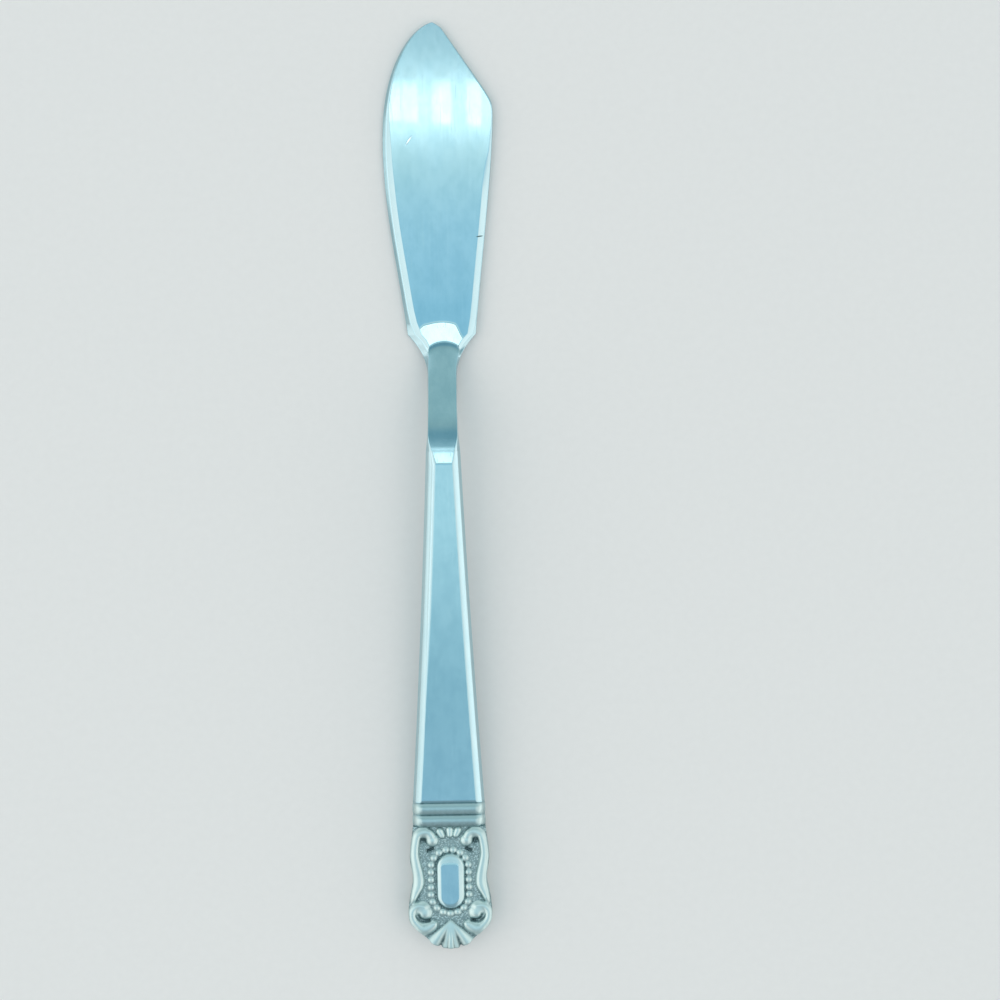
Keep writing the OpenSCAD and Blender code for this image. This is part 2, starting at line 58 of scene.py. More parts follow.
TERM_L, TERM_W, GROUND_H, RELIEF = 22.5, 15.3, 1.55, 0.75
SCROLL_W, BOSS_W, BOSS_L = 1.5, 5.1, 10.0
BEAD_D, BEAD_OFFSET, BEAD_PITCH = 1.4, 0.95, 1.38
FAN_R, FAN_HALF, FAN_H, PETAL_W = 5.4, 50.0, 0.5, 1.25
FIT_GAP, SOLDER_T, POCKET_INSET = 0.02, 0.02, 2.0

MOUTH_H = MOUTH_T / 2
GROOVE_H = PANEL_H - BAND_H / 2
MOUTH_BEVEL = BEVEL_W * (MOUTH_H - SIDE_H) / (PANEL_H - SIDE_H)
BANDS_L = BANDS * BAND_PITCH
PANEL_L = HANDLE_L - TERM_L - BANDS_L
# The bands sit a little further up than in the CAD model
BAND_AT = TERM_L + 0.25

# Edge of the terminal: places across and along, over its sizes
EDGE = np.array([
    [0.882, 0.993], [0.958, 0.764], [0.893, 0.591], [0.975, 0.427],
    [1.012, 0.302], [0.968, 0.218], [0.785, 0.151], [0.54, 0.096],
]) * [TERM_W / 2, TERM_L]
# Scroll: the same, and width over SCROLL_W
UPPER_SCROLL = np.array([
    [0.426, 0.922, 1.15], [0.484, 0.951, 1.2], [0.574, 0.96, 1.15], [0.697, 0.947, 1.07],
    [0.774, 0.911, 1], [0.826, 0.791, 1], [0.781, 0.689, 1.13], [0.735, 0.6, 1.25],
    [0.742, 0.529, 1.25], [0.826, 0.462, 0.95], [0.89, 0.404, 0.6], [0.91, 0.369, 0.2],
]) * [TERM_W / 2, TERM_L, SCROLL_W]
SCROLL_LIFT = 0.2
UPPER_SCROLL[:, 1] += SCROLL_LIFT * np.clip(UPPER_SCROLL[:, 1] / 5 - 3, 0, 1)
UPPER_HEAD = np.array([0.412 * TERM_W / 2, 0.9 * TERM_L, 1.7 * SCROLL_W])
LOWER_HEAD = np.array([0.632 * TERM_W / 2, 0.298 * TERM_L, 1.9 * SCROLL_W])
# Angle round the head, then distance from it and width over SCROLL_W
LOWER_SCROLL = np.array([
    [222, 1.83, 0.2], [225, 1.83, 0.8], [229, 1.83, 1.07], [237, 1.83, 1.37], [254, 1.93, 1.5],
    [270, 1.98, 1.53], [286, 1.85, 1.4], [300, 1.68, 1.23], [330, 1.55, 1.08], [360, 1.47, 1.05],
    [390, 1.3, 1.02], [420, 1.05, 1], [450, 0.75, 0.93], [475, 0.55, 0.85], [500, 0.47, 0.7],
])


def smoothstep(a, b, x):
    t = np.clip((x - a) / (b - a), 0, 1)
    return t * t * (3 - 2 * t)


def hermite(p, q, x):
    """Cubic between two points of place, height and slope."""
    length = q[0] - p[0]
    t = (x - p[0]) / length
    return (p[1] * (2 * t**3 - 3 * t**2 + 1) + p[2] * length * (t**3 - 2 * t**2 + t)
            + q[1] * (3 * t**2 - 2 * t**3) + q[2] * length * (t**3 - t**2))


def smooth_path(p, steps):
    out = []
    for i in range(len(p) - 1):
        a, b, c, d = p[max(i - 1, 0)], p[i], p[i + 1], p[min(i + 2, len(p) - 1)]
        for k in range(steps):
            t = k / steps
            out.append((2 * b + (c - a) * t + (2 * a - 5 * b + 4 * c - d) * t**2
                        + (3 * b - a - 3 * c + d) * t**3) / 2)
    return np.array(out + [p[-1]])


# Outlines

BELLY_POWER, NOSE_POWER = 2.3, 1.6
LEFT_HEEL, RIGHT_HEEL, BACK_LEAN, SHOULDER_LEAN, MOUTH_LEAN = -0.125, -0.09, -0.035, -0.95, 0.12
CLIP_START, CLIP_TIP, CLIP_POWER, CLIP_ROUND = 1.15, 0.02, 0.4, 0.84


def edge_left(d):
    """Curved edge of the blade, by distance from the tip."""
    inner = 1 - np.clip(1 - d / BELLY_L, 0, 1) ** BELLY_POWER
    nose = TIP_X - (BLADE_LEFT + TIP_X) * np.clip(inner, 0, 1) ** (1 / NOSE_POWER)
    rest = hermite([BELLY_L, BLADE_LEFT, 0], [BLADE_L, HEEL_W / 2, LEFT_HEEL], d)
    return np.where(d < BELLY_L, nose, -rest)


def edge_right(d):
    """Back of the blade with its clipped corner."""
    rest = hermite([CLIP_L, BLADE_RIGHT, BACK_LEAN], [BLADE_L, HEEL_W / 2, RIGHT_HEEL], d)
    back = np.where(d < CLIP_L, BLADE_RIGHT + BACK_LEAN * (d - CLIP_L), rest)
    line = BLADE_RIGHT + (d / CLIP_L - 1) * (BLADE_RIGHT - TIP_X - CLIP_START)
    clip = TIP_X + (line - TIP_X) * np.minimum((d + CLIP_TIP) ** CLIP_POWER, 1)
    k = CLIP_ROUND * np.minimum(d / CLIP_L, (BLADE_L - d) / (BLADE_L - CLIP_L))
    return (clip + back - np.sqrt((clip - back) ** 2 + k**2)) / 2


def neck_half(e):
    return np.where(e < SHOULDER_L,
                    hermite([0, HEEL_W / 2, SHOULDER_LEAN], [SHOULDER_L, NECK_W / 2, 0], e),
                    hermite([SHOULDER_L, NECK_W / 2, 0], [NECK_L, MOUTH_W / 2, MOUTH_LEAN], e))


def neck_climb(e):
    slope = NECK_RISE / (NECK_L - HEEL_BEND / 2 - MOUTH_BEND / 2)
    return np.where(e < HEEL_BEND, slope * e**2 / (2 * HEEL_BEND),
                    np.where(e < NECK_L - MOUTH_BEND, slope * (e - HEEL_BEND / 2),
                             NECK_RISE - slope * (NECK_L - e) ** 2 / (2 * MOUTH_BEND)))


def lower_path(steps):
    angle, away, width = (smooth_path(LOWER_SCROLL, steps) * [math.pi / 180, SCROLL_W, SCROLL_W]).T
    return np.stack([LOWER_HEAD[0] + away * np.cos(angle), LOWER_HEAD[1] + away * np.sin(angle),
                     width], 1)


def handle_half(s):
    """Half the handle's width: a taper, drawn in a little halfway along the panel."""
    f = np.clip((HANDLE_L - s) / PANEL_L, 0, 1)
    return MOUTH_W / 2 + (PANEL_W - MOUTH_W) / 2 * f - 4 * PANEL_WAIST * f * (1 - f)


# Place of the parts in the shared frame

# Sections of the CAD model's blade, which set the width of its box
CORNER_FROM, CORNER_RUN, CORNER_TO = 0.87, 0.33, 1.2
stations = np.concatenate([
    CLIP_L * CORNER_FROM * (np.arange(10) / 9) ** 2,
    CLIP_L * (CORNER_FROM + CORNER_RUN * np.arange(1, 6) / 5),
    CLIP_L * CORNER_TO + (BLADE_L - CLIP_L * CORNER_TO) * np.arange(1, 9) / 8,
])
AXIS_X = -(edge_left(stations).min() + edge_right(stations).max()) / 2
MOUTH_Z = HEEL_T / 2 + NECK_RISE
CREST_H = GROUND_H + RELIEF
CONTACT_L = HANDLE_L - lower_path(2)[:, 1].min()
TILT = math.asin(MOUTH_Z / math.hypot(CONTACT_L, CREST_H)) - math.atan2(CREST_H, CONTACT_L)
TIP_Y = NECK_L + BLADE_L
MOUTH_Y = -(TIP_Y - HANDLE_L * math.cos(TILT) - GROUND_H * math.sin(TILT)) / 2


def on_handle(p):
    """Points of the handle (across, from the tail, up from the seam) in the shared frame."""
    c, s = math.cos(TILT), math.sin(TILT)
    p = np.asarray(p, float)
    return np.stack([AXIS_X + p[..., 0],
                     MOUTH_Y + (p[..., 1] - HANDLE_L) * c - p[..., 2] * s,
                     MOUTH_Z + (p[..., 1] - HANDLE_L) * s + p[..., 2] * c], -1)


# Mesh helpers

# Steps of a rounded corner, and its longest cut over the shorter side
CURVE = np.array([0, 0.25, 0.5, 0.75, 1.0])
CORNER_N = len(CURVE)
CUT_SHARE = 0.35


def crowded(n):
    return 0.5 - 0.5 * np.cos(np.pi * np.arange(1, n + 1) / (n + 1))


def rounded(points, cut, fills, closed):
    """Rows of corner points (rows, corners, 2), each corner rounded and each side subdivided."""
    before, after = np.roll(points, 1, 1), np.roll(points, -1, 1)
    len_b = np.linalg.norm(before - points, axis=2, keepdims=True) + 1e-12
    len_a = np.linalg.norm(after - points, axis=2, keepdims=True) + 1e-12
    c = np.minimum(cut, CUT_SHARE * np.minimum(len_b, len_a))
    if not closed:
        c[:, [0, -1]] = 0
    a = points + c * (before - points) / len_b
    b = points + c * (after - points) / len_a
    out = []
    last = points.shape[1] - 1
    for i in range(points.shape[1]):
        if not closed and i in (0, last):
            out.append(points[:, i:i + 1])
        else:
            t = CURVE[None, :, None]
            arc = (1 - t) ** 2 * a[:, i:i + 1] + 2 * t * (1 - t) * points[:, i:i + 1]
            out.append(arc + t**2 * b[:, i:i + 1])
        if closed or i < last:
            f = np.asarray(fills[i])[None, :, None]
            j = (i + 1) % points.shape[1]
            out.append(b[:, i:i + 1] * (1 - f) + a[:, j:j + 1] * f)
    return np.concatenate(out, 1)


def quads(rows, cols, wrap):
    r = np.arange(rows - 1)[:, None]
    c = np.arange(cols if wrap else cols - 1)[None, :]
    d = (c + 1) % cols
    corners = [r * cols + c, r * cols + d, (r + 1) * cols + d, (r + 1) * cols + c]
    return np.stack(corners, -1).reshape(-1, 4).tolist()


def tube(count, n):
    """Faces of a stack of rings, closed at both ends."""
    last = (count - 1) * n
    return quads(count, n, True) + [list(range(n))[::-1], list(range(last, last + n))]


def mesh_of(name, points, faces, scale=1.0):
    mesh = bpy.data.meshes.new(name)
    mesh.from_pydata((np.asarray(points).reshape(-1, 3) * scale).tolist(), [], faces)
    mesh.validate()
    return mesh


def add_object(name, data):
    thing = bpy.data.objects.new(name, data)
    scene.collection.objects.link(thing)
    return thing


def finish_piece(name, mesh, marks, material, node, sharp):
    """Mesh with marks and material, in place of a CAD node."""
    for key, values in marks.items():
        layer = mesh.attributes.new(key, "FLOAT", "POINT")
        layer.data.foreach_set("value", np.asarray(values, np.float32))
    mesh.polygons.foreach_set("use_smooth", [True] * len(mesh.polygons))
    mesh.set_sharp_from_angle(angle=math.radians(sharp))
    mesh.materials.append(material)
    piece = add_object(name, mesh)
    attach(piece, "root")
    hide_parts(node)


# Materials

def node(tree, kind, inputs, **settings):
    """New node with its settings, and with links or values in its inputs."""
    n = tree.nodes.new("ShaderNode" + kind)
    for key, value in settings.items():
        setattr(n, key, value)
    for key, value in inputs.items():
        socket = n.inputs[key]
        if isinstance(value, bpy.types.NodeSocket):
            tree.links.new(value, socket)
        else:
            socket.default_value = (*value, 1) if socket.type == "RGBA" else value
    return n


def new_material(name):
    material = bpy.data.materials.new(name)
    material.use_nodes = True
    tree = material.node_tree
    tree.nodes.clear()
    return material, tree


def principled(tree, inputs):
    shader = node(tree, "BsdfPrincipled", inputs)
    node(tree, "OutputMaterial", {"Surface": shader.outputs["BSDF"]})


def mix(tree, factor, a, b):
    return node(tree, "Mix", {0: factor, 6: a, 7: b}, data_type="RGBA").outputs[2]


def calc(tree, what, a, b, clamp=False):
    return node(tree, "Math", {0: a, 1: b}, operation=what, use_clamp=clamp).outputs[0]


def span(tree, value, lo, hi, out_lo=0.0, out_hi=1.0):
    inputs = {0: value, 1: lo, 2: hi, 3: out_lo, 4: out_hi}
    return node(tree, "MapRange", inputs, interpolation_type="SMOOTHSTEP").outputs[0]


def coords(tree, scale, turn=0.0, at=(0, 0, 0), kind="POINT"):
    inputs = {"Vector": node(tree, "TexCoord", {}).outputs["Object"], "Location": at,
              "Rotation": (0, 0, math.radians(turn)), "Scale": scale}
    return node(tree, "Mapping", inputs, vector_type=kind).outputs["Vector"]


def noise(tree, scale, detail, rough, turn=0.0):
    inputs = {"Vector": coords(tree, scale, turn), "Scale": 1.0, "Detail": detail,
              "Roughness": rough}
    return node(tree, "TexNoise", inputs).outputs["Fac"]


def cells(tree, scale):
    inputs = {"Vector": coords(tree, scale), "Scale": 1.0}
    return node(tree, "TexVoronoi", inputs).outputs["Distance"]


def mark(tree, name):
    return node(tree, "Attribute", {}, attribute_name=name).outputs["Fac"]


def bump(tree, height, strength, distance, below):
    inputs = {"Height": height, "Strength": strength, "Distance": distance}
    return node(tree, "Bump", inputs | below).outputs["Normal"]


def nick(tree, at, turn, length, width):
    """Mask of one short scratch: place in millimetres, direction in degrees."""
    place = coords(tree, (length * MM, width * MM, 1), turn, (at[0] * MM, at[1] * MM, 0), "TEXTURE")
    ball = node(tree, "TexGradient", {"Vector": place}, gradient_type="SPHERICAL")
    return span(tree, ball.outputs["Fac"], 0.0, 0.5)


# The pale colours also paint highlights on worn places, the dark one also paints shade
PALE, BRIGHT, FRESH = (0.52, 0.70, 0.74), (0.60, 0.75, 0.735), (0.93, 0.96, 0.95)
SATIN, TARNISH_AND_SHADE = (0.47, 0.63, 0.64), (0.08, 0.14, 0.15)
# Grain of the silver, in cycles per metre
STREAK, MOTTLE, BLOTCH = (2400, 36, 2400), (170, 80, 170), (420, 260, 420)
FINE, SCRATCH, PITS = (1500, 1500, 1500), (5200, 90, 5200), (3300, 3300, 3300)
SCRATCH_TURN = 24
# Roughness, its spread, and what polish, satin, soil with painted shade, and scratches change
GLOSS, GLOSS_SPREAD, GLOSS_MORE = 0.12, 0.035, (-0.1, 0.2, 0.25, 0.1)
# Marks of the metal, with their values inside the handle
INNER = {"wear_and_highlight": 0.0, "tarnish_and_shade": 0.6, "ground": 0.0, "satin": 0.5, "polish": 0.0}


def silver(name, main, shade, nicks_at=()):
    """Silver with soft mottling, polishing lines, fine scratches, tarnish where it collects with
    painted shade, and pale wear that is partly painted highlight.
    """
    material, tree = new_material(name)
    wear_and_highlight, dark, ground, satin, polish = (mark(tree, key) for key in INNER)
    streak = noise(tree, STREAK, 4, 0.6)
    mottle = noise(tree, MOTTLE, 5, 0.6)
    blotch = noise(tree, BLOTCH, 4, 0.6)
    fine = noise(tree, FINE, 3, 0.6)
    scratch = noise(tree, SCRATCH, 2, 0.5, SCRATCH_TURN)
    scratch = span(tree, scratch, 0.66, 0.74)
    pits = cells(tree, PITS)
    colour = mix(tree, span(tree, blotch, 0.3, 0.72), main, shade)
    colour = mix(tree, span(tree, streak, 0.5, 0.8, 0, 0.25), colour, PALE)
    colour = mix(tree, calc(tree, "MULTIPLY", satin, 0.8), colour, SATIN)
    # Worn places turn pale: wear, and a painted highlight on bevels, crests and band ends
    bright = mix(tree, satin, PALE, BRIGHT)
    rubbed_and_lit = calc(tree, "MULTIPLY", wear_and_highlight, span(tree, blotch, 0.3, 0.6, 0.6, 1))
    colour = mix(tree, rubbed_and_lit, colour, bright)
    # Darkening towards the dark colour: tarnish, and painted shade on flanks, cuts, grooves and the
    # lower halves of the bands
    soil_and_shade = calc(tree, "MULTIPLY", dark, span(tree, fine, 0.25, 0.7, 0.6, 1.1), True)
    punched = calc(tree, "MULTIPLY", ground, span(tree, pits, 0.2, 0.6, 0.0, 0.55))
    soil_and_shade = calc(tree, "ADD", soil_and_shade, punched, True)
    colour = mix(tree, soil_and_shade, colour, TARNISH_AND_SHADE)
    cuts = [nick(tree, *place) for *place, _ in nicks_at]
    for cut, (*_, tint) in zip(cuts, nicks_at):
        colour = mix(tree, cut, colour, tint)
    gloss = span(tree, mottle, 0.25, 0.75, GLOSS, GLOSS + GLOSS_SPREAD)
    for mask, more in zip((polish, satin, soil_and_shade, scratch), GLOSS_MORE):
        gloss = calc(tree, "ADD", gloss, calc(tree, "MULTIPLY", mask, more), True)
    # Bumps: height, strength and depth in metres
    heights = [(mottle, 0.006, 0.0004), (streak, 0.05, 0.00008),
               (calc(tree, "SUBTRACT", 1.0, scratch), 0.08, 0.00004),
               (calc(tree, "MULTIPLY", ground, pits), 0.75, 0.00012)]
    heights += [(calc(tree, "SUBTRACT", 1.0, cut), 0.25, 0.00005) for cut in cuts]
    below = {}
    for height, strength, depth in heights:
        below = {"Normal": bump(tree, height, strength, depth, below)}
    principled(tree, {"Base Color": colour, "Metallic": 1.0, "Roughness": gloss, **below})
    return material


# Two clear nicks: place, direction, length, width and colour
NICKS = [((AXIS_X - 5.6, 64.0), 56, 1.15, 0.2, FRESH),
         ((AXIS_X + 7.3, 46.0), 8, 0.8, 0.16, TARNISH_AND_SHADE)]
blade_silver = silver("silver_blade", (0.440, 0.650, 0.712), (0.385, 0.598, 0.663), NICKS)
handle_silver = silver("silver_handle", (0.428, 0.637, 0.698), (0.383, 0.592, 0.658))


def resin():
    material, tree = new_material("resin_cement")
    grit = noise(tree, (900, 900, 900), 6, 0.7)
    cloud = noise(tree, (130, 130, 130), 3, 0.5)
    colour = mix(tree, span(tree, cloud, 0.3, 0.7), (0.075, 0.042, 0.026), (0.120, 0.075, 0.045))
    colour = mix(tree, span(tree, grit, 0.55, 0.75), colour, (0.23, 0.17, 0.12))
    principled(tree, {"Base Color": colour, "Roughness": span(tree, grit, 0.2, 0.8, 0.45, 0.75),
                      "Normal": bump(tree, grit, 0.4, 0.0002, {})})
    return material


# Blade, neck and tang

# Distance of each section from the heel corners, towards the handle
CLIP_FROM, CLIP_TO, HEEL_FROM, HEEL_TO, NECK_END = CLIP_L - 2, CLIP_L + 4, -5, 6, NECK_L - 0.35
e = np.concatenate([
    CLIP_FROM * (np.arange(34) / 34) ** 2 - BLADE_L,
    np.linspace(CLIP_FROM, CLIP_TO, 22, endpoint=False) - BLADE_L,
    np.linspace(CLIP_TO - BLADE_L, HEEL_FROM, 56, endpoint=False),
    np.linspace(HEEL_FROM, HEEL_TO, 84, endpoint=False),
    np.linspace(HEEL_TO, NECK_END, 58),
])
# The sides stay this far inside the CAD model's box
SLACK = 0.0005
d, past_heel = e + BLADE_L, np.maximum(e, 0)
on_blade = e < 0
left = np.where(on_blade, edge_left(np.minimum(d, BLADE_L)), -neck_half(past_heel)) + SLACK
right = np.where(on_blade, edge_right(np.minimum(d, BLADE_L)), neck_half(past_heel)) - SLACK
along = np.clip(e / NECK_L, 0, 1)
thick = np.where(on_blade, TIP_T + (HEEL_T - TIP_T) * d / BLADE_L,
                 HEEL_T + (MOUTH_T - HEEL_T) * along)
low = np.where(on_blade, 0, np.maximum(HEEL_T / 2 + neck_climb(past_heel) - thick / 2, 0))

# Slopes of the upper face: taper, ramp at the heel, soft bend and mouth
TAPER = (HEEL_T - TIP_T) / BLADE_L
RAMP, BEND, MOUTH = (math.tan(math.radians(a)) for a in (5.0, 8.6, 7.6))
# Where they go over into each other, the first two from ramp and crease
RAMP_TURN, CREASE_TURN, BEND_TURN, MOUTH_TURN = (0.3, 1.1), (-0.15, 2.0), (14.5, 20.6), (20.6, 21.6)
# The ramp's start: a flat arch, held back at each side (by, from, to)
RAMP_AT, RAMP_ARCH, RAMP_HALF = -3.0, 0.06, 2.6
HELD_LEFT, HELD_RIGHT = (1.4, 2.8, 5.2), (2.6, 2.4, 4.1)
# The neck's start: an arched crease
CREASE_AT, CREASE_DEPTH, CREASE_MID, CREASE_HALF, CREASE_END = 1.25, 1.9, 0.4, 3.1, 0.96
TABLE_HALF, TABLE_FROM, TABLE_PAST, TABLE_STEP = 6.5, -6, 0.4, 0.04
xs = np.linspace(-TABLE_HALF, TABLE_HALF, 53)
es = np.arange(TABLE_FROM, NECK_L + TABLE_PAST, TABLE_STEP)
MIDDLE = len(xs) // 2
reach = np.abs(xs)[None, :]
bow = np.minimum(((xs[None, :] - CREASE_MID) / CREASE_HALF) ** 2, CREASE_END)
crease = CREASE_AT + CREASE_DEPTH * (1 - np.sqrt(1 - bow))
held = [by * smoothstep(a, b, reach) for by, a, b in (HELD_LEFT, HELD_RIGHT)]
ramp_at = (RAMP_AT + RAMP_ARCH * np.minimum(reach, RAMP_HALF) ** 2
           + np.where(xs[None, :] < 0, *held))


def upper_height(steep):
    g = es[:, None]
    up = TAPER + (RAMP - TAPER) * smoothstep(ramp_at + RAMP_TURN[0], ramp_at + RAMP_TURN[1], g)
    up = up + (steep - RAMP) * smoothstep(crease + CREASE_TURN[0], crease + CREASE_TURN[1], g)
    up = up + (BEND - steep) * smoothstep(*BEND_TURN, g)
    up = up + (MOUTH - BEND) * smoothstep(*MOUTH_TURN, g)
    rise = np.cumsum((up[1:] + up[:-1]) / 2 * TABLE_STEP, 0)
    z = np.concatenate([np.zeros((1, len(xs))), rise])
    return z + TIP_T + TAPER * (es[0] + BLADE_L)


# The neck's slope that brings it to the mouth's upper edge
MOUTH_TOP, MOUTH_E = MOUTH_Z + MOUTH_H, NECK_L + 0.046
gentler, steeper = 0.2, 0.6
for _ in range(40):
    steep = (gentler + steeper) / 2
    top_mid = np.interp(MOUTH_E, es, upper_height(steep)[:, MIDDLE])
    gentler, steeper = (steep, steeper) if top_mid < MOUTH_TOP else (gentler, steep)
upper = upper_height(steep)
# Level across at the mouth
upper = upper + (upper[-1:, MIDDLE:MIDDLE + 1] - upper[-1:]) * smoothstep(2, 9, es)[:, None]


def top_z(ee, x):
    i = np.clip((ee - es[0]) / TABLE_STEP, 0, len(es) - 1.001)
    j = np.clip((x - xs[0]) / (xs[1] - xs[0]), 0, len(xs) - 1.001)
    i0, j0 = i.astype(int), j.astype(int)
    fi, fj = i - i0, j - j0
    table = ((upper[i0, j0] * (1 - fj) + upper[i0, j0 + 1] * fj) * (1 - fi)
             + (upper[i0 + 1, j0] * (1 - fj) + upper[i0 + 1, j0 + 1] * fj) * fi)
    return np.where(ee < es[0], TIP_T + TAPER * (ee + BLADE_L), table)


# Widths of the steep outer facet and of the bright bevel, and the bevel's drop, on each side
facet_l, facet_r, bevel_l, bevel_r, drop_l, drop_r = (np.interp(e, *table) for table in (
    ([-58, -50, -40, -6, -4.3, -2.2, -0.7, 0, 2, 3.6, 5, 6.5, 16, 19, NECK_L],
     [0.25, 0.45, 0.6, 0.62, 0.66, 0.84, 1.2, 1.4, 1.45, 1.1, 0.6, 0.2, 0.09, 0.15, SIDE_LEAN]),
    ([-58, -6, -3, -1.4, 0, 2, 3.6, 5, 6.5, 16, 19, NECK_L],
     [0.10, 0.13, 0.18, 0.3, 0.5, 0.7, 0.5, 0.3, 0.18, 0.09, 0.15, SIDE_LEAN]),
    ([-58, -48, -43, -39, -35, -28, -1, 1, 2.6, 3.6, 5, 16, 19, 20.5, NECK_L],
     [0.1, 0.18, 0.3, 0.7, 1.05, 1.25, 1.25, 1.05, 0.6, 0.2, 0.03, 0.03, 0.06, 0.2, MOUTH_BEVEL]),
    ([-58, -43, -38, -34, -31.5, -28, -1, 1, 2.6, 3.6, 5, 16, 19, 20.5, NECK_L],
     [0.1, 0.15, 0.2, 0.4, 0.9, 1.15, 1.15, 1.0, 0.6, 0.2, 0.03, 0.03, 0.06, 0.2, MOUTH_BEVEL]),
    ([-58, -48, -43, -39, -35, -28, 1, 3.6, 5, 16, 20, NECK_L],
     [0.06, 0.08, 0.12, 0.22, 0.32, 0.38, 0.34, 0.14, 0.04, 0.04, 0.1, MOUTH_H - SIDE_H]),
    ([-58, -43, -38, -34, -31, -25, 1, 3.6, 5, 16, 20, NECK_L],
     [0.06, 0.07, 0.08, 0.11, 0.2, 0.35, 0.33, 0.14, 0.04, 0.04, 0.1, MOUTH_H - SIDE_H]),
))
EDGE_SHARE = 0.36
room_l = np.minimum(1, EDGE_SHARE * (right - left) / (facet_l + bevel_l))
room_r = np.minimum(1, EDGE_SHARE * (right - left) / (facet_r + bevel_r))
facet_l, bevel_l, drop_l = facet_l * room_l, bevel_l * room_l, drop_l * room_l
facet_r, bevel_r, drop_r = facet_r * room_r, bevel_r * room_r, drop_r * room_r

# The underside's bevels are narrower on the neck
NECK_PINCH = 0.32
pinch = np.where(e < SHOULDER_L, hermite([0, 1, 0], [SHOULDER_L, NECK_PINCH, 0], past_heel),
                 np.where(e < NECK_L - MOUTH_BEND, NECK_PINCH,
                          hermite([NECK_L - MOUTH_BEND, NECK_PINCH, 0], [NECK_L, 1, 0], e)))
pinch = np.where(on_blade, room_l, pinch)
MOUTH_STRIP, HEEL_DROP, LEAST_FACET = 0.05, 0.35, 0.03
under = (UNDER_BEVEL + (SIDE_LEAN + MOUTH_BEVEL - UNDER_BEVEL) * along) * pinch
mid_x = (UNDER_BEVEL / 2 + (SIDE_LEAN - UNDER_BEVEL / 2) * along) * pinch
mid_z = UNDER_BEVEL / 2 + (MOUTH_H - SIDE_H - UNDER_BEVEL / 2) * along
foot_z = UNDER_BEVEL + (MOUTH_H - MOUTH_STRIP - UNDER_BEVEL) * along
wall_l = UNDER_BEVEL + EDGE_T + (MOUTH_H + MOUTH_STRIP - UNDER_BEVEL - EDGE_T) * along
inner_l, inner_r = left + facet_l + bevel_l, right - facet_r - bevel_r
top_l, top_r = top_z(e, inner_l), top_z(e, inner_r)
back_wall = HEEL_T - HEEL_DROP - BACK_FACET
wall_r = back_wall + (MOUTH_H + MOUTH_STRIP - back_wall) * smoothstep(0, 1, along)
wall_l = np.minimum(wall_l, top_l - low - drop_l - LEAST_FACET)
wall_r = np.where(on_blade, top_r - drop_r - BACK_FACET,
                  np.minimum(wall_r, top_r - low - drop_r - LEAST_FACET))
corners = np.stack([np.stack(corner, 1) for corner in (
    (left + under, low), (left + mid_x, low + mid_z), (left, low + foot_z), (left, low + wall_l),
    (left + facet_l, top_l - drop_l), (inner_l, top_l), (inner_r, top_r),
    (right - facet_r, top_r - drop_r), (right, low + wall_r), (right, low + foot_z),
    (right - mid_x, low + mid_z), (right - under, low))], 1)
TOP_N, BEVEL_N, FACET_N = 60, 4, 3
fills = [[0.5], [0.5], [0.5], crowded(FACET_N), crowded(BEVEL_N), crowded(TOP_N),
         crowded(BEVEL_N), crowded(FACET_N), [0.5], [0.5], [0.5], crowded(8)]
mouth_half = np.array([
    [SIDE_LEAN + MOUTH_BEVEL, 0], [SIDE_LEAN, MOUTH_H - SIDE_H], [0, MOUTH_H - MOUTH_STRIP],
    [0, MOUTH_H + MOUTH_STRIP], [SIDE_LEAN, MOUTH_H + SIDE_H], [SIDE_LEAN + MOUTH_BEVEL, MOUTH_T],
]) + [-MOUTH_W / 2, -MOUTH_H]
mouth_corners = np.concatenate([mouth_half, mouth_half[::-1] * [-1, 1]])[None]
round_cut = np.full((1, 12, 1), 0.1)
round_cut[:, [4, 7]] = 0.2
rows = rounded(corners, round_cut, fills, True)
shoulder = rounded(mouth_corners, round_cut, fills, True)[0]
ring_n = rows.shape[1]

# First index of each corner in a ring; the upper face follows the table
starts = np.cumsum([0] + [CORNER_N + len(f) for f in fills])
flat = np.arange(starts[5] + CORNER_N, starts[6])
rows[:, flat, 1] = top_z(np.repeat(e[:, None], len(flat), 1), rows[:, flat, 0])
BLADE_SWELL, SWELL_WIDTH = 0.018, 1.2
swollen = 4 * crowded(BEVEL_N) * (1 - crowded(BEVEL_N))
for first, size in ((starts[4] + CORNER_N, bevel_l), (starts[6] + CORNER_N, bevel_r)):
    rows[:, first:first + BEVEL_N, 1] += BLADE_SWELL * (size[:, None] / SWELL_WIDTH) ** 2 * swollen
points = np.stack([rows[:, :, 0] + AXIS_X,
                   np.repeat((MOUTH_Y + NECK_L - e)[:, None], ring_n, 1), rows[:, :, 1]], 2)

# The tang: a step in from the mouth, then a plain bar
turn = (np.arange(ring_n) + 0.5) / ring_n
box_run = np.cumsum([0, TANG_T, TANG_W, TANG_T, TANG_W]) / (2 * (TANG_T + TANG_W))
box = np.array([[-1, -1], [-1, 1], [1, 1], [1, -1], [-1, -1]]) * [TANG_W / 2, TANG_T / 2]
bar = np.stack([np.interp(turn, box_run, side) for side in box.T], 1)


def handle_ring(ring, s):
    return on_handle(np.stack([ring[:, 0], np.full(ring_n, s), ring[:, 1]], 1))


tail_rings = np.stack([handle_ring(ring, HANDLE_L + at) for ring, at in (
    (shoulder, FIT_GAP), (bar, FIT_GAP), (bar, -TANG_L / 2), (bar, -TANG_L))])
points = np.concatenate([points, tail_rings])
ring_count = len(points)
faces = tube(ring_count, ring_n)
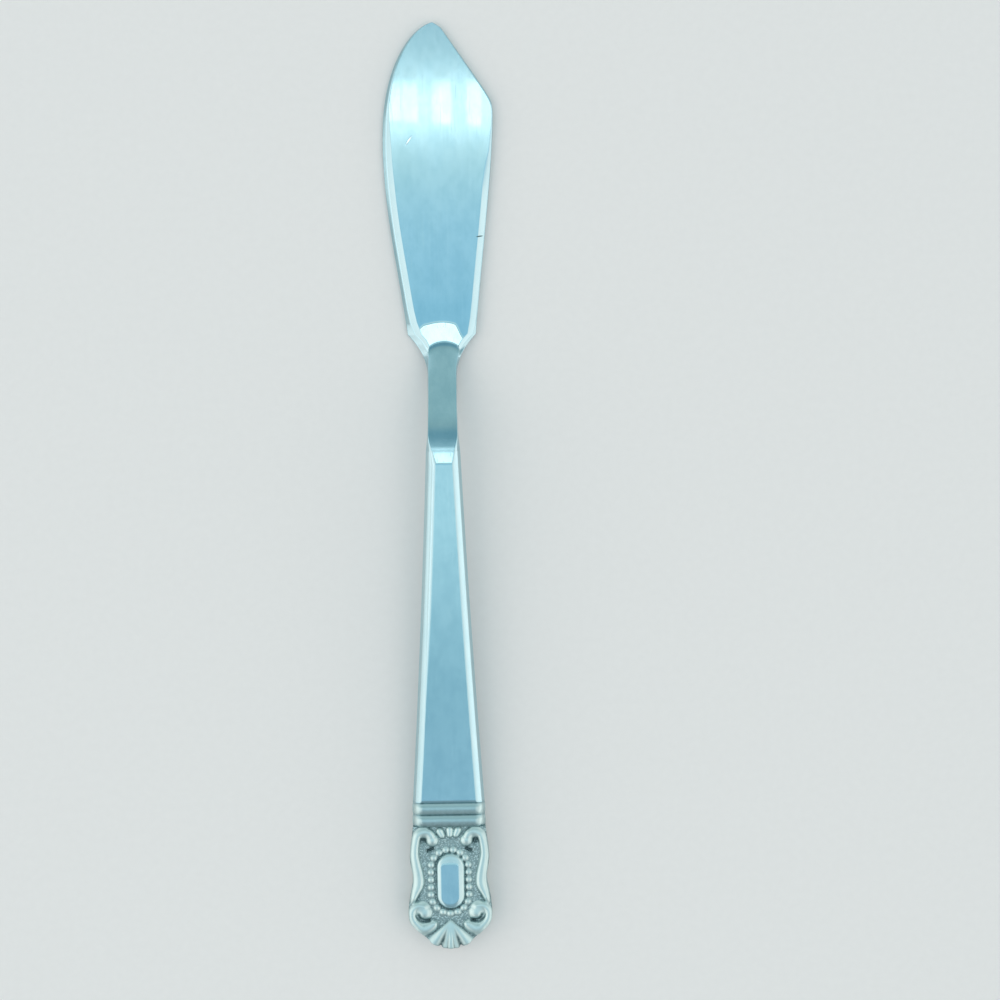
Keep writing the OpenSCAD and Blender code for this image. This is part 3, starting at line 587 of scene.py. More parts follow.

# Marks: worn bevels and facets worn at the heel, both lightened as painted highlight; painted shade
# on the facets; soil on the tang
e_all = np.concatenate([e, np.full(len(tail_rings), NECK_L)])
bevel_wear_and_highlight = np.interp(e_all, [-58, -45, -38, -28, 3.2, 5, 19, NECK_L],
                       [0.1, 0.2, 0.5, 0.9, 0.9, 0.0, 0.0, 0.9])
facet_wear_and_highlight = np.interp(e_all, [-58, -8, -3, 0, 3.6, 5.5, NECK_L],
                       [0.1, 0.1, 0.45, 0.8, 0.8, 0.0, 0.0])
facet_shade = np.interp(e_all, [-58, -8, -1.5, NECK_L], [0.15, 0.15, 0.05, 0.05])
wear_and_highlight, soil_and_shade = np.zeros((ring_count, ring_n)), np.zeros((ring_count, ring_n))
for marks, values, sides, shift, count in (
        (wear_and_highlight, bevel_wear_and_highlight, (4, 6), 3, BEVEL_N), (wear_and_highlight, facet_wear_and_highlight, (3, 7), 3, FACET_N),
        (soil_and_shade, facet_shade, (3, 7), 2, FACET_N)):
    for side in sides:
        first = starts[side] + shift
        marks[:, first:first + count + 4] = values[:, None]
TANG_SOIL = 0.5
soil_and_shade[1 - len(tail_rings):] = TANG_SOIL
# Polished stripes on the front of the blade: place across and half the width
STRIPES = [(-8.0, 1.15), (-5.2, 1.35), (0.75, 1.75), (6.6, 1.3)]
STRIPE_SOFT, STRIPE_FROM, STRIPE_TO, STRIPE_SLANT = 0.5, (-51, -47), (-39.9, -38.3), 0.09
PLAIN_POLISH, BETWEEN, STRIPE_MORE, MOST_POLISH = 0.45, 0.4, 0.55, 0.95
across = points[:, :, 0] - AXIS_X
polish = sum(1 - smoothstep(half - STRIPE_SOFT, half + STRIPE_SOFT, np.abs(across - at))
             for at, half in STRIPES)
striped = (smoothstep(*STRIPE_FROM, e_all)[:, None]
           * (1 - smoothstep(*STRIPE_TO, e_all[:, None] - STRIPE_SLANT * across)))
polish = np.clip(BETWEEN + STRIPE_MORE * polish, 0, MOST_POLISH)
polish = PLAIN_POLISH + striped * (polish - PLAIN_POLISH)
# The heel is fully polished, the neck is not
polish = polish + (1 - polish) * smoothstep(-8, -4, e_all)[:, None]
polish = polish * (1 - smoothstep(1.5, 4, e_all))[:, None]
# Edges sharper than this, in degrees, stay sharp
BLADE_SHARP, SHELL_SHARP = 50, 55
blade_mesh = mesh_of("blade_mesh", points, faces, MM)
finish_piece("blade_polished", blade_mesh,
             {"wear_and_highlight": wear_and_highlight.ravel(), "tarnish_and_shade": soil_and_shade.ravel(), "polish": polish.ravel()},
             blade_silver, "blade", BLADE_SHARP)

# Half shell of the handle

# Rows of the side walls, as shares of their height
WALL = [0, 0.3, 0.6, 0.85, 0.96]
SEAM = SOLDER_T / 2
SIDE_FILL, BEVEL_FILL = [0.25, 0.5, 0.75], [0.1, 0.3, 0.5, 0.7, 0.9]
panel_fills = [SIDE_FILL, BEVEL_FILL, crowded(115), BEVEL_FILL, SIDE_FILL]
COLS = 2 + 4 * CORNER_N + sum(len(f) for f in panel_fills)
TOP_COLS = COLS - 2 * len(WALL)
u = np.linspace(-1, 1, TOP_COLS)
edge_w, edge_s = smooth_path(EDGE, 12)[::-1].T
FAN_SIN, FAN_COS = math.sin(math.radians(FAN_HALF)), math.cos(math.radians(FAN_HALF))
TAIL_S = FAN_R * (1 - FAN_COS)
# Fan: angles to the edge of the middle flutes and to the grooves in them
FLUTE_EDGE, FLUTE_CUT = 21.4, 7.2
# Lobes of its end: angle, spread and reach over FAN_R
FAN_END = 0.985
LOBES = [(38, 11, 0.05), (14, 4.5, 0.012), (0, 4.5, 0.013), (FLUTE_EDGE, 2.8, -0.065)]
NOWHERE, DOME_SINK = -1.0, 0.12


def half_width(s):
    corner = FAN_R * FAN_SIN
    tail = corner + (edge_w[0] - corner) * (s - TAIL_S) / (edge_s[0] - TAIL_S)
    return np.where(s < edge_s[0], tail, np.interp(s, edge_s, edge_w))


def fan_reach(phi):
    """Radius of the fan's scalloped end at an angle from its middle, in degrees."""
    share = FAN_END
    for at, spread, more in LOBES:
        share = share + more * np.exp(-((np.abs(phi) - at) / spread) ** 2)
    return FAN_R * share


def full(r):
    """Profile of a plump round form, from 1 at its middle to 0 at its edge."""
    return np.clip(1 - np.clip(r, 0, 1) ** 2.2, 0, 1) ** 0.6


def legs(x, s, path):
    """Ends of each leg of a path, the nearest place's share along it, and the offset from there."""
    ax = np.abs(x)
    for p, q in zip(path[:-1], path[1:]):
        run = q[:2] - p[:2]
        t = np.clip(((ax - p[0]) * run[0] + (s - p[1]) * run[1]) / (run @ run + 1e-12), 0, 1)
        yield p, q, t, ax - p[0] - t * run[0], s - p[1] - t * run[1]


def band_relief(x, s, path, rise_full, outer):
    """Height of a round-topped band that follows a path, mirrored about the middle."""
    best = np.full(x.shape, np.inf)
    rise = np.zeros(x.shape)
    for p, q, t, dx, ds in legs(x, s, path):
        width = p[2] + (q[2] - p[2]) * t
        half = width / 2 * (1 + outer * smoothstep(0, 0.3, dx))
        r = np.hypot(dx, ds) / half
        closer = r < best
        best = np.where(closer, r, best)
        rise = np.where(closer, rise_full * np.minimum(1.4 * width / SCROLL_W, 1), rise)
    return np.where(best < 1, rise * full(best) - DOME_SINK, NOWHERE)


def dome(x, s, p, height):
    """Height of a round form and its twin, by place and width."""
    r = np.hypot(np.abs(x) - p[0], s - p[1]) / (p[2] / 2)
    return np.where(r < 1, (height + DOME_SINK) * full(r) - DOME_SINK, NOWHERE)


def pit(x, s, cx, cy, rx, ry):
    return np.exp(-(((np.abs(x) - cx) / rx) ** 2 + ((s - cy) / ry) ** 2))


BOSS_Y = 12.55
STRAIGHT = BOSS_L - BOSS_W
BEAD_R = BOSS_W / 2 + BEAD_OFFSET
BEAD_RUN = 2 * math.pi * BEAD_R + 2 * STRAIGHT
BEADS = round(BEAD_RUN / BEAD_PITCH)
# Boss beside the CAD model's: wider, to the right, further up, longer
BOSS_MORE, BOSS_X, BOSS_UP, BOSS_LONG = 0.04, 0.16, 0.1, 0.1
# Its flat: middle, half sizes, radius of upper and lower corners
FLAT_X, FLAT_Y, FLAT_HALF_W, FLAT_HALF_L, FLAT_TURNS = -0.02, 12.05, 1.58, 3.66, (0.5, 1.3)


def bead_point(q):
    arc = math.pi * BEAD_R / 2
    half = 2 * arc + STRAIGHT
    m, side = (q, 1) if q <= half else (2 * half - q, -1)
    if m < arc:
        a = math.pi / 2 * m / arc
        return side * BEAD_R * math.sin(a), BOSS_Y - STRAIGHT / 2 - BEAD_R * math.cos(a)
    if m < arc + STRAIGHT:
        return side * BEAD_R, BOSS_Y + m - arc - STRAIGHT / 2
    a = math.pi / 2 * (m - arc - STRAIGHT) / arc
    return side * BEAD_R * math.cos(a), BOSS_Y + STRAIGHT / 2 + BEAD_R * math.sin(a)


def boss_rim(x, s):
    """Place on the boss's rim (0 on its flat, 1 at its edge), depth inside, share sideways."""
    end = np.maximum(np.abs(s - BOSS_Y - BOSS_UP) - STRAIGHT / 2 - BOSS_LONG, 0)
    inside = BOSS_W / 2 + BOSS_MORE - np.hypot(x - BOSS_X, end)
    turn = np.where(s > BOSS_Y, *FLAT_TURNS)
    flat_x = np.maximum(np.abs(x - FLAT_X) - FLAT_HALF_W + turn, 0)
    flat_s = np.maximum(np.abs(s - FLAT_Y) - FLAT_HALF_L + turn, 0)
    away = np.maximum(np.hypot(flat_x, flat_s) - turn, 0)
    sideways = flat_x**2 / (flat_x**2 + flat_s**2 + 1e-6)
    return away / (away + np.maximum(inside, 0) + 1e-6), inside, sideways


def slit(x, s, path, width):
    """Mask of a cut that follows a path, mirrored about the middle."""
    far = np.minimum.reduce([np.hypot(dx, ds) for *_, dx, ds in legs(x, s, path)])
    return np.exp(-(far / width) ** 2)


# Cuts in the upper curl and under the lower head: places across and along
SLOT = np.array([[3.95, 18.3], [3.6, 18.45], [3.15, 18.7]])
CRESCENT = np.array([
    [5.85, 6.3], [5.72, 5.95], [5.4, 5.65], [5.0, 5.48], [4.4, 5.38], [3.95, 5.36]])
SLIT_W = 0.3
# Pocket in the upper curl, notch at the waist, soft spot on the lower head: place and reach
POCKET, NOTCH, SOFT_SPOT = (4.75, 20.2, 0.65, 0.6), (6.1, 10.0, 0.55, 0.75), (5.45, 7.35, 1.0, 0.75)
# Petals: place across and along, lean in degrees
PETALS = [(-1.53, 21.5, -28), (0.08, 21.68, 0), (1.4, 21.65, 26)]
BOSS_H, BEAD_H, PETAL_H, FLUTES_H = RELIEF * 0.93, 0.42, 0.56, FAN_H + 0.06
LOWER_STEPS, LOWER_END = 6, 73


def blurred(a, steps):
    for _ in range(steps):
        p = np.pad(a, 1, "edge")
        a = (p[:-2, 1:-1] + p[2:, 1:-1] + p[1:-1, :-2] + p[1:-1, 2:] + 2 * p[1:-1, 1:-1]) / 6
    return a


def terminal_relief(x, s):
    """Height over the sunk ground, a mask of the bare ground and one of the dark cuts."""
    h = np.zeros(x.shape)
    for form in (
            band_relief(x, s, smooth_path(UPPER_SCROLL, 4), RELIEF + DOME_SINK, 0.45),
            band_relief(x, s, lower_path(LOWER_STEPS)[:LOWER_END], RELIEF + DOME_SINK, 0.2),
            dome(x, s, UPPER_HEAD, RELIEF),
            dome(x, s, LOWER_HEAD + [0, 0.1, 0.35], RELIEF),
            dome(x, s, LOWER_HEAD + [0.4, 0.75, 0.5], 0.95 * RELIEF)):
        h = np.maximum(h, form)
    # Boss: a flat with a rounded rim, which is broad above it
    t, inside_boss, sideways = boss_rim(x, s)
    lean = 0.15 + 0.25 * sideways
    boss = BOSS_H * (1 - lean * t - (1 - lean) * t**12)
    h = np.where(inside_boss > 0, np.maximum(h, boss), h)
    for i in range(BEADS):
        bx, bs = bead_point(i * BEAD_RUN / BEADS)
        r = np.hypot(x - bx, s - bs) / (BEAD_D / 2)
        h = np.maximum(h, np.where(r < 1, BEAD_H * full(r), 0))
    # Fan: flutes that spread from a point, the outer two wider
    phi = np.degrees(np.arctan2(x, FAN_R - s))
    a = np.minimum(np.abs(phi), FAN_HALF)
    cut = np.exp(-((a - FLUTE_CUT) / 2.2) ** 2)
    middle = np.sin(np.pi * np.clip(0.5 + a / (2 * FLUTE_EDGE), 0, 1)) ** 0.4 - 0.28 * cut
    outer = np.sin(np.pi * np.clip((a - FLUTE_EDGE) / (FAN_HALF - FLUTE_EDGE), 0, 1)) ** 0.8
    flute = np.where(a < FLUTE_EDGE, middle, outer)
    k = np.clip(np.hypot(x, FAN_R - s) / FAN_R, 0, 1.1)
    shell = (FLUTES_H * np.sin(np.radians(35 + 80 * k))
             * (1 - 0.8 * smoothstep(0.1, 1, k) * (1 - flute)))
    inside = (np.abs(phi) < FAN_HALF + 1.5) & (s < FAN_R)
    h = np.where(inside, np.maximum(shell, 0.05), h)
    for px, ps, lean in PETALS:
        tip = math.radians(lean)
        dx, ds = x - px, s - ps
        lengthwise = ds * math.cos(tip) + dx * math.sin(tip)
        crosswise = dx * math.cos(tip) - ds * math.sin(tip)
        wide = 0.54 * PETAL_W * (1.0 + 0.18 * np.clip(lengthwise / 0.8, -1.6, 0.6))
        r = np.hypot(crosswise / wide, np.maximum(np.abs(lengthwise) - 0.5, 0) / wide)
        h = np.maximum(h, np.where(r < 1, PETAL_H * full(r), 0))
    h = h + (blurred(h, 24) - h) * pit(x, s, *SOFT_SPOT)
    bare = 1 - smoothstep(0.02, 0.12, h)
    pocket = pit(x, s, *POCKET)
    slot, crescent = slit(x, s, SLOT, SLIT_W), slit(x, s, CRESCENT, SLIT_W)
    h = (h - 0.34 * bare * pocket - 0.36 * slot - 0.28 * bare * pit(x, s, *NOTCH)
         - 0.12 * bare * np.exp(-((inside_boss + 0.2) / 0.2) ** 2) - 0.42 * crescent)
    # The fan's grooves darken towards its end, and the pocket, slot and crescent darken: tarnish
    # and painted shade
    groove = np.exp(-((a - FLUTE_EDGE) / 5.6) ** 2) * smoothstep(0.25, 0.75, k)
    groove = np.maximum(groove, 0.6 * cut * smoothstep(0.45, 0.9, k)) * inside
    dark = np.maximum.reduce([0.65 * pocket, 0.95 * slot, 0.95 * crescent, groove])
    return h, bare, dark


TERM_ROWS, BOW_END, LOBE_L, CREST_SLACK = 200, 9.0, 2.5, 0.006
EDGE_SOFT, SIDE_DEEP, TAIL_DEEP = 0.25, 0.14, 0.16
LOW_RELIEF = 0.35
# Marks of the walls: worn with painted highlight, soil with painted shade, bare ground, satin
SIDE_MARKS, TAIL_MARKS = (0.25, 0.1, 0, 0.6), (0.2, 0.1, 0, 0.6)


def walled(a, fill=None):
    """Values with columns for the side walls: the edges again, or one value."""
    sides = [np.repeat(c, len(WALL), 1) if fill is None else np.full((len(a), len(WALL)), fill)
             for c in (a[:, :1], a[:, -1:])]
    return np.concatenate([sides[0], a, sides[1]], 1)


def terminal_rows():
    """Grid of the terminal, and its marks: worn with painted highlight, soil with painted shade,
    bare ground, satin and polish.
    """
    base = np.linspace(TAIL_S, BAND_AT, TERM_ROWS)
    bow = (1 - smoothstep(TAIL_S, BOW_END, base))[:, None]
    phi = np.radians(FAN_HALF * u)[None, :]
    w = half_width(base)[:, None]
    lobes = fan_reach(FAN_HALF * u)[None, :] / FAN_R
    x = w * ((1 - bow) * u[None, :] + bow * np.sin(phi) / FAN_SIN)
    s = base[:, None] - bow * FAN_R * (np.cos(phi) - FAN_COS)
    stretch = 1 + (lobes - 1) * (1 - smoothstep(TAIL_S, TAIL_S + LOBE_L, base))[:, None]
    x = x * np.where(np.abs(u)[None, :] < 0.999, stretch, 1)
    s = FAN_R - (FAN_R - s) * stretch
    relief, bare, dark = terminal_relief(x, s)
    relief = np.minimum(blurred(relief, 1), RELIEF - CREST_SLACK)
    border = (1 - np.abs(u))[None, :] * w
    relief = relief - SIDE_DEEP * (1 - np.clip(border / EDGE_SOFT, 0, 1)) ** 2
    relief = relief - TAIL_DEEP * (1 - np.clip((s - s[:1]) / EDGE_SOFT, 0, 1)) ** 2
    top = GROUND_H + relief
    # Crests are worn and lightened as painted highlight, hollows hold tarnish, cuts get tarnish and
    # painted shade, flanks painted shade
    hollow = np.clip((blurred(top, 14) - top - 0.05) / 0.3, 0, 1)
    around = np.maximum(blurred(np.maximum(relief, LOW_RELIEF), 6), LOW_RELIEF)
    ridge = smoothstep(0.3, 0.75, relief / around)
    shaded_flank = (1 - ridge) * (1 - bare)
    t, inside_boss, _ = boss_rim(x, s)
    rim = smoothstep(0.0, 0.3, t) * (0.25 + 0.75 * smoothstep(7.9, 9.4, s))
    rim = np.where(inside_boss > 0, rim, 1)
    soil_and_shade = np.clip(np.maximum.reduce([0.9 * hollow, dark, 0.35 * shaded_flank]), 0, 1)
    matt = np.where(inside_boss > 0, 0.8 * rim, rim)
    marks = [walled(a, v) for a, v in zip((ridge * rim, soil_and_shade, bare, matt), SIDE_MARKS)]
    # Columns down to the seam at the sides, and rows at the tail
    x, s, top = walled(x), walled(s), walled(top)
    climb = np.array(WALL + [1] * TOP_COLS + WALL[::-1])[None, :]
    tail = np.stack([SEAM + (top[0] - SEAM) * np.minimum(f, climb[0]) for f in WALL])
    n = np.concatenate([tail, SEAM + (top - SEAM) * climb])
    x, s = (np.concatenate([np.repeat(a[:1], len(WALL), 0), a]) for a in (x, s))
    marks = [np.concatenate([np.full((len(WALL), COLS), v), a]) for a, v in zip(marks, TAIL_MARKS)]
    return [np.stack([x, s, n], 2), *marks, np.zeros(x.shape)]


# Lip of the panel above the bands
LIP = np.array([0, 0.06, 0.12, 0.18, 0.25, 0.35, 0.45, 0.55, 0.65])
LIP_L, LIP_POWER = 0.8, 3.5
FACET_TURN, FACET_ROWS = 0.3, np.array([0.3, 0.45, 0.6, 0.8, 0.95, 1])
PANEL_ROUND, WORN_ROUND, PANEL_SWELL = 0.12, 0.35, 0.035
BAND_POWER, ARCH_L, BAND_BRIGHT, BAND_FADE, PANEL_FADE = 0.75, 1.6, 1.3, 0.8, 0.12
# Reach of the soil in the lowest groove, widened there into painted shade, and in the others
LOW_GROOVE, BAND_GROOVE = 0.45, 0.24


def panel_rows():
    """Grid of bands, panel and facet at the mouth, with the same marks."""
    turn = np.linspace(0, np.pi, 15)[:-1]
    band_s = np.concatenate([BAND_AT + BAND_PITCH * (b + (1 - np.cos(turn)) / 2)
                             for b in range(BANDS)])
    share = ((band_s - BAND_AT) / BAND_PITCH) % 1
    band_n = GROOVE_H + BAND_H * np.sin(np.pi * share) ** BAND_POWER
    start, bend = BAND_AT + BANDS_L, HANDLE_L - FACET_L
    lip_n = PANEL_H - (PANEL_H - GROOVE_H) * (1 - LIP / LIP_L) ** LIP_POWER
    bent = np.concatenate([np.linspace(start + LIP_L, bend - 0.7, 44),
                           bend + np.linspace(-0.35, 0.35, 12), bend + FACET_L * FACET_ROWS])
    fall = (PANEL_H - MOUTH_H) / FACET_L
    part = np.clip((bent - bend + FACET_TURN) / (2 * FACET_TURN), 0, 1)
    bent_n = PANEL_H - fall * (2 * FACET_TURN * (part**3 - part**4 / 2)
                               + np.maximum(bent - bend - FACET_TURN, 0))
    s = np.concatenate([band_s, start + LIP, bent])
    n = np.concatenate([band_n, lip_n, bent_n])
    swell = np.concatenate([band_n - GROOVE_H, np.zeros(len(s) - len(band_n))])
    banded = s < start + 0.01
    wide = np.where(banded, PANEL_W / 2 - 0.05 + 0.34 * swell, handle_half(s))
    shoulder_n = np.where(banded, SIDE_H - 0.16 + 0.55 * swell, SIDE_H)
    bevel_w = np.where(banded, BEVEL_W, BEVEL_W * (n - SIDE_H) / (PANEL_H - SIDE_H))
    half = np.stack([np.stack(corner, 1) for corner in (
        (-wide, np.full(len(wide), SEAM)), (-wide + SIDE_LEAN, shoulder_n),
        (-wide + SIDE_LEAN + bevel_w, n))], 1)
    cut = np.full((len(s), 6, 1), PANEL_ROUND)
    cut[:, 2, 0] += WORN_ROUND * smoothstep(44, 66, s)
    section = rounded(np.concatenate([half, half[:, ::-1] * [-1, 1]], 1), cut, panel_fills, False)
    # The bands are arched at their ends
    inset = wide[:, None] - np.abs(section[:, :, 0]) - SIDE_LEAN
    arch = np.sin(np.pi / 2 * np.clip(inset / ARCH_L, 0, 1)) ** BAND_POWER
    arch = shoulder_n[:, None] + (n - shoulder_n)[:, None] * arch
    section[:, :, 1] = np.where(banded[:, None] & (inset > 0), arch, section[:, :, 1])
    run = np.array(BEVEL_FILL)
    swollen = np.where(banded, 0, PANEL_SWELL)[:, None] * (bevel_w[:, None] / BEVEL_W) ** 2
    swollen = swollen * 4 * run * (1 - run)
    first = 1 + len(SIDE_FILL) + CORNER_N
    for at in (first, COLS - first - len(run)):
        section[:, at:at + len(run), 1] += swollen
    x, h = section[:, :, 0], section[:, :, 1]
    s_all = np.repeat(s[:, None], COLS, 1)
    # Bevels and band ends are worn and lightened as painted highlight, grooves hold soil
    grooves = BAND_AT + BAND_PITCH * np.arange(BANDS + 1)
    width = np.array([LOW_GROOVE] + [BAND_GROOVE] * BANDS)
    groove = np.min(np.abs(s[:, None] - grooves[None, :]) / width[None, :], 1)
    groove = np.exp(-groove**2)[:, None]
    past = np.abs(x) - (wide - SIDE_LEAN - np.where(banded, BAND_BRIGHT, bevel_w))[:, None]
    bevel = smoothstep(0, np.where(banded, BAND_FADE, PANEL_FADE)[:, None], past)
    # The side walls keep half of the painted highlight
    bevel = bevel * (1 - 0.5 * smoothstep(0, 0.1, np.abs(x) - (wide - SIDE_LEAN)[:, None]))
    # Painted highlight on a strip inside the left bevel, towards the mouth
    rubbed_and_lit = 0.85 * smoothstep(-0.6, -0.05, past) * (x < 0) * smoothstep(48, 66, s)[:, None]
    # Upper half of each band a little lighter, lower half darker: painted light and shade
    lit_band_half = smoothstep(0.35, 0.8, np.where(banded, ((s - BAND_AT) / BAND_PITCH) % 1, 0))
    wear_and_highlight = np.clip(np.maximum(0.9 * bevel, rubbed_and_lit) + 0.15 * lit_band_half[:, None], 0, 1) * (1 - groove)
    shaded_band_half = (banded * (1 - lit_band_half))[:, None]
    soil_and_shade = np.clip(0.4 * groove * (1 - 0.6 * bevel) + 0.25 * shaded_band_half * (1 - bevel), 0, 1)
    satin = np.repeat(np.where(banded, 0.85, 0.0)[:, None], COLS, 1)
    polish = (0.7 * smoothstep(bend - 0.4, bend + 0.2, s_all)
              * (1 - smoothstep(HANDLE_L - 0.6, HANDLE_L, s_all)))
    return [np.stack([x, s_all, h], 2), wear_and_highlight, soil_and_shade, np.zeros(x.shape), satin, polish]


def loft_mesh(name, rings):
    rings = np.asarray(rings, float)
    return mesh_of(name, rings, tube(*rings.shape[:2]))


# The hollow and a slot for the tang are cut from below the seam
BELOW, SLOT_ROOM = -1.0, 0.05


def hollow_section(w, h, s):
    c = min(BEVEL_W, h / 2)
    half = [[-w, s, BELOW], [-w, s, h - c], [-w + c, s, h]]
    return half + [[-x, y, z] for x, y, z in half[::-1]]


def hollow_rings():
    """The hollow from the fan to the mouth, as in the CAD model."""
    pocket_w = TERM_W / 2 - POCKET_INSET - SCROLL_W
    pocket_h, deep_h = GROUND_H - SHELL_WALL, GROOVE_H - SHELL_WALL
    mid, end, inset = HANDLE_L - PANEL_L / 2, HANDLE_L - MOUTH_WALL, SHELL_WALL + SIDE_LEAN
    end_h = min(deep_h, MOUTH_H - SHELL_WALL)
    return [hollow_section(*ring) for ring in (
        (pocket_w / 2, pocket_h, FAN_R), (pocket_w, pocket_h, BOSS_Y - BOSS_L / 4),
        (pocket_w, pocket_h, TERM_L), (PANEL_W / 2 - inset, deep_h, TERM_L + SHELL_WALL),
        (PANEL_W / 2 - inset, deep_h, TERM_L + BANDS_L),
        (handle_half(mid) - inset, (deep_h + end_h) / 2, mid),
        (handle_half(end) - inset, end_h, end))]


def cut_out(mesh, cutters):
    """Mesh less the cutters, by boolean modifiers whose result is kept."""
    body = add_object("cut_body", mesh)
    tools = []
    for i, c in enumerate(cutters):
        tool = add_object(f"cut_tool_{i}", c)
        m = body.modifiers.new(f"cut_{i}", "BOOLEAN")
        m.operation, m.solver, m.object = "DIFFERENCE", "EXACT", tool
        tools.append(tool)
    bpy.context.view_layer.update()
    graph = bpy.context.evaluated_depsgraph_get()
    result = bpy.data.meshes.new_from_object(body.evaluated_get(graph))
    for o in [body] + tools:
        bpy.data.objects.remove(o)
    return result


grid, *grid_marks = (np.concatenate(both) for both in zip(terminal_rows(), panel_rows()))
rows_n = len(grid)
last_row = (rows_n - 1) * COLS
# Upper side, tail, flat seam and mouth
faces = quads(rows_n, COLS, False) + [list(range(COLS))[::-1]]
faces += [[r, r + COLS, r + 2 * COLS - 1, r + COLS - 1] for r in range(0, last_row, COLS)]
faces.append(list(range(last_row, last_row + COLS)))

raw = bpy.data.meshes.new("shell_raw")
raw.from_pydata(grid.reshape(-1, 3).tolist(), [], faces)
bm = bmesh.new()
bm.from_mesh(raw)
bmesh.ops.remove_doubles(bm, verts=bm.verts, dist=1e-5)
bmesh.ops.dissolve_degenerate(bm, edges=bm.edges, dist=1e-6)
bmesh.ops.recalc_face_normals(bm, faces=bm.faces)
bm.to_mesh(raw)
bm.free()
slot_w, slot_h = TANG_W / 2 + SLOT_ROOM, TANG_T / 2 + SLOT_ROOM
slot_ring = ((-slot_w, BELOW), (-slot_w, slot_h), (slot_w, slot_h), (slot_w, BELOW))
slot_box = [[[sx, sy, sz] for sx, sz in slot_ring]
            for sy in (HANDLE_L - 2 * MOUTH_WALL, HANDLE_L + MOUTH_WALL)]
shell = cut_out(raw, [loft_mesh("hollow", hollow_rings()), loft_mesh("slot", slot_box)])
co = np.array([v.co for v in shell.vertices])

# Marks of the cut mesh: the grid's by place, others inside the hollow
lookup = KDTree(rows_n * COLS)
for i, p in enumerate(grid.reshape(-1, 3)):
    lookup.insert(p, i)
lookup.balance()
near = [lookup.find(p)[1:] for p in co]
kept = np.array([dist < 1e-3 for _, dist in near])
index = np.array([i for i, _ in near])
marks = {key: np.where(kept, values.ravel()[index], inner)
         for (key, inner), values in zip(INNER.items(), grid_marks)}
polys = [list(p.vertices) for p in shell.polygons]
front = mesh_of("shell_front_mesh", on_handle(co), polys, MM)
back = mesh_of("shell_back_mesh", on_handle(co * [1, 1, -1]), [p[::-1] for p in polys], MM)
finish_piece("shell_front", front, marks, handle_silver, "handle_front",
             SHELL_SHARP)
finish_piece("shell_back", back, marks, handle_silver, "handle_back", SHELL_SHARP)

# Cement inside the handle: the CAD solid with a resin finish

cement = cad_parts["handle_cement"]
cement.data.materials.clear()
cement.data.materials.append(resin())

# Floor: pale paper, just under the part

FLOOR_HALF, FLOOR_Z = 6, -0.00005
floor_mesh = mesh_of("floor_mesh", [[-1, -1, 0], [1, -1, 0], [1, 1, 0], [-1, 1, 0]], [[0, 1, 2, 3]],
                     FLOOR_HALF)
floor = add_object("floor", floor_mesh)
floor.location.z = FLOOR_Z
paper, paper_tree = new_material("floor_paper")
grain = noise(paper_tree, (700, 700, 700), 4, 0.6)
tint = mix(paper_tree, grain, (0.84, 0.808, 0.79), (0.88, 0.848, 0.83))
principled(paper_tree, {"Base Color": tint, "Roughness": 0.9, "Specular IOR Level": 0.1})
floor_mesh.materials.append(paper)

# Light: soft panels all round as a world of two ramps, and two lamps

world = bpy.data.worlds.new("studio")
scene.world = world
world.use_nodes = True
sky = world.node_tree
sky.nodes.clear()
split = node(sky, "SeparateXYZ", {0: node(sky, "TexCoord", {}).outputs["Generated"]})
# Angle from straight up towards the blade's tip, and radiance
STOPS = [
    (-90, 0.45, 0.5, 0.52), (-30, 0.36, 0.45, 0.49), (-20, 0.45, 0.61, 0.70),
    (-13, 0.54, 0.76, 0.92), (-11.1, 0.61, 0.81, 0.93), (-9.8, 0.22, 0.44, 0.55),
    (-8.4, 0.50, 0.74, 0.84), (-7.2, 1.08, 1.30, 1.34), (-5.9, 0.90, 1.11, 1.16),
    (-2, 0.68, 0.92, 1.02), (2, 0.53, 0.81, 0.96), (4.9, 0.51, 0.80, 0.96),
    (6.3, 0.64, 0.90, 1.06), (7.0, 0.75, 0.98, 1.04), (7.6, 1.08, 1.20, 1.11),
    (8.1, 0.90, 1.0, 1.0), (8.7, 0.90, 1.0, 1.0), (9.1, 0.88, 1.0, 0.98), (9.7, 0.48, 0.69, 0.83),
    (10.4, 0.55, 0.76, 0.87), (11.5, 0.95, 1.08, 1.06), (12.6, 0.95, 1.08, 1.06),
    (14, 0.27, 0.45, 0.52), (15.2, 0.70, 0.86, 0.90), (16.2, 0.70, 0.86, 0.90),
    (17.5, 0.25, 0.43, 0.50), (25, 0.25, 0.43, 0.50), (36, 0.45, 0.59, 0.60),
    (44, 0.50, 0.65, 0.66), (60, 0.75, 0.88, 0.9), (90, 1.0, 1.05, 1.08),
]
# The two sides: angle from straight up towards the right, radiance and how far it covers the ramp
SIDES = [
    (-90, 1.0, 1), (-84, 1.15, 1), (-73, 1.32, 1), (-58, 0.82, 1), (-41, 1.2, 1), (-29, 1.26, 1),
    (-24, 1.26, 1), (-15, 1.2, 0), (15, 1.05, 0), (24, 1.15, 1), (30, 1.25, 1), (40, 1.32, 1),
    (58, 0.8, 1), (73, 1.28, 1), (83, 1.42, 1), (90, 1.35, 1),
]
# Their blue over red, and where they fade out towards tip and tail
SIDE_BLUE, TIP_FADE, TAIL_FADE = 0.985, (0.45, 0.25), (-0.9, -0.6)


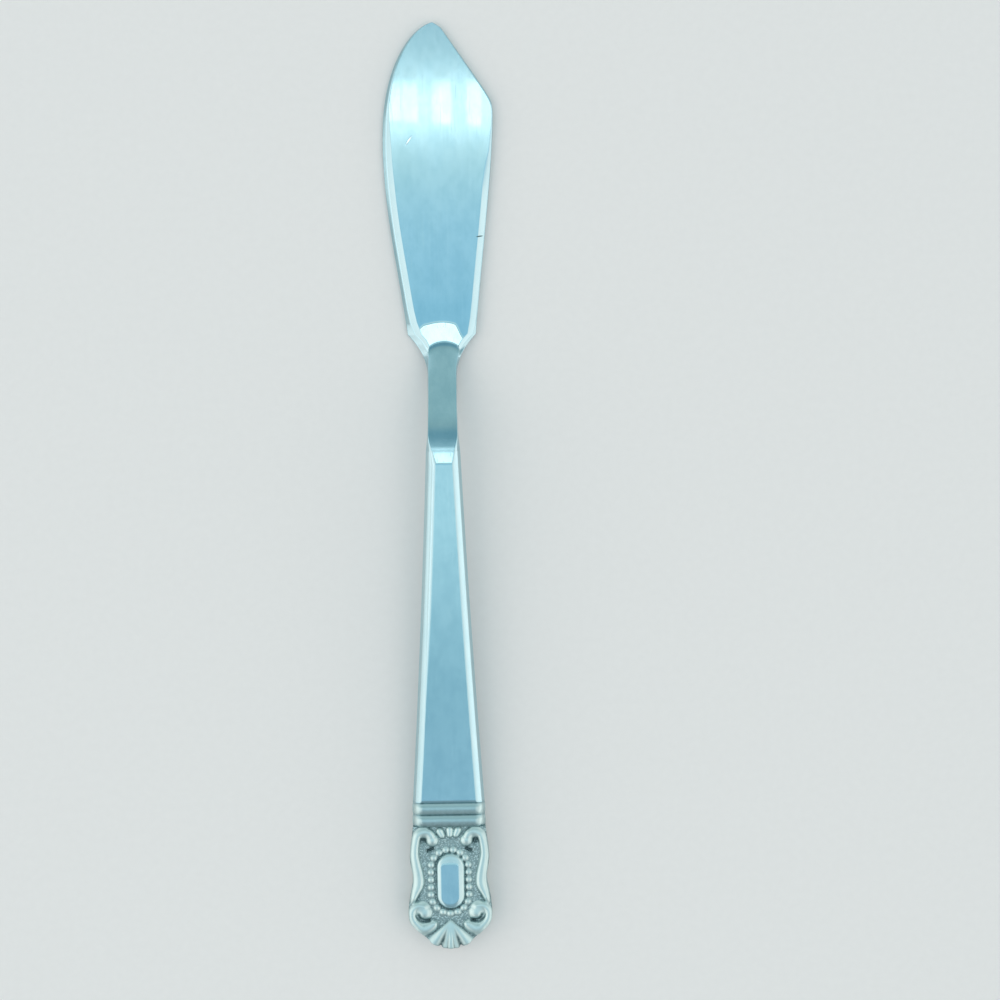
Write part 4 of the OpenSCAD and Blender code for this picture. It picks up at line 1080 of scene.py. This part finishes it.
def sky_ramp(axis, table, interpolation):
    """Ramp of colours by the angle from straight up towards an axis."""
    angle = calc(sky, "ARCTAN2", split.outputs[axis], split.outputs["Z"])
    angle = calc(sky, "ADD", calc(sky, "DIVIDE", angle, math.pi), 0.5, True)
    ramp = node(sky, "ValToRGB", {0: angle})
    ramp.color_ramp.interpolation = interpolation
    elements = ramp.color_ramp.elements
    for i, (at, *colour) in enumerate(table):
        place = (at + 90) / 180
        if i < 2:
            elements[i].position = place
        element = elements[i] if i < 2 else elements.new(place)
        element.color = colour
    return ramp


pitch = sky_ramp("Y", [(at, r, g, b, 1) for at, r, g, b in STOPS], "EASE")
sides = sky_ramp("X", [(at, r, r, SIDE_BLUE * r, cover) for at, r, cover in SIDES], "LINEAR")
level = calc(sky, "MULTIPLY", span(sky, split.outputs["Y"], *TIP_FADE),
             span(sky, split.outputs["Y"], *TAIL_FADE))
cover = calc(sky, "MULTIPLY", sides.outputs["Alpha"], level)
radiance = mix(sky, cover, pitch.outputs[0], sides.outputs[0])
background = node(sky, "Background", {"Color": radiance})
node(sky, "OutputWorld", {"Surface": background.outputs[0]})


def lamp(name, at, aim, width, height, radiance):
    data = bpy.data.lights.new(name, "AREA")
    data.shape = "RECTANGLE"
    data.size, data.size_y = width, height
    data.energy = 4 * radiance * width * height
    o = add_object(name, data)
    o.location = at
    o.rotation_euler = (Vector(aim) - Vector(at)).to_track_quat("-Z", "Y").to_euler()


# The strip makes the highlights on the blade, at the heel and at the mouth
lamp("strip", at=(0.065, 0.1482, 0.531), aim=(0.065, 0.04, 0.0),
     width=0.39, height=0.0174, radiance=1.0)
lamp("left_box", at=(-0.95, 0.0, 0.7), aim=(0, 0, 0), width=1.2, height=0.35, radiance=0.4)

# Camera: straight above, as in the photo

# Millimetres to a pixel, pixels, height at which that scale holds
PIXEL, PIXELS, SCALE_Z = 0.18554, 1000, 2.2
CAMERA_H, SENSOR, ROLL = 600.0, 36, -0.89
# Middle of the photo, from the handle's axis
PHOTO_X, PHOTO_Y = 10.34, -3.04
camera_data = bpy.data.cameras.new("camera")
camera_data.sensor_width = SENSOR
camera_data.lens = SENSOR * CAMERA_H / (PIXEL * PIXELS)
camera = add_object("camera", camera_data)
camera.location = ((AXIS_X + PHOTO_X) * MM, PHOTO_Y * MM, (CAMERA_H + SCALE_Z) * MM)
camera.rotation_euler = (0, 0, math.radians(ROLL))
scene.camera = camera
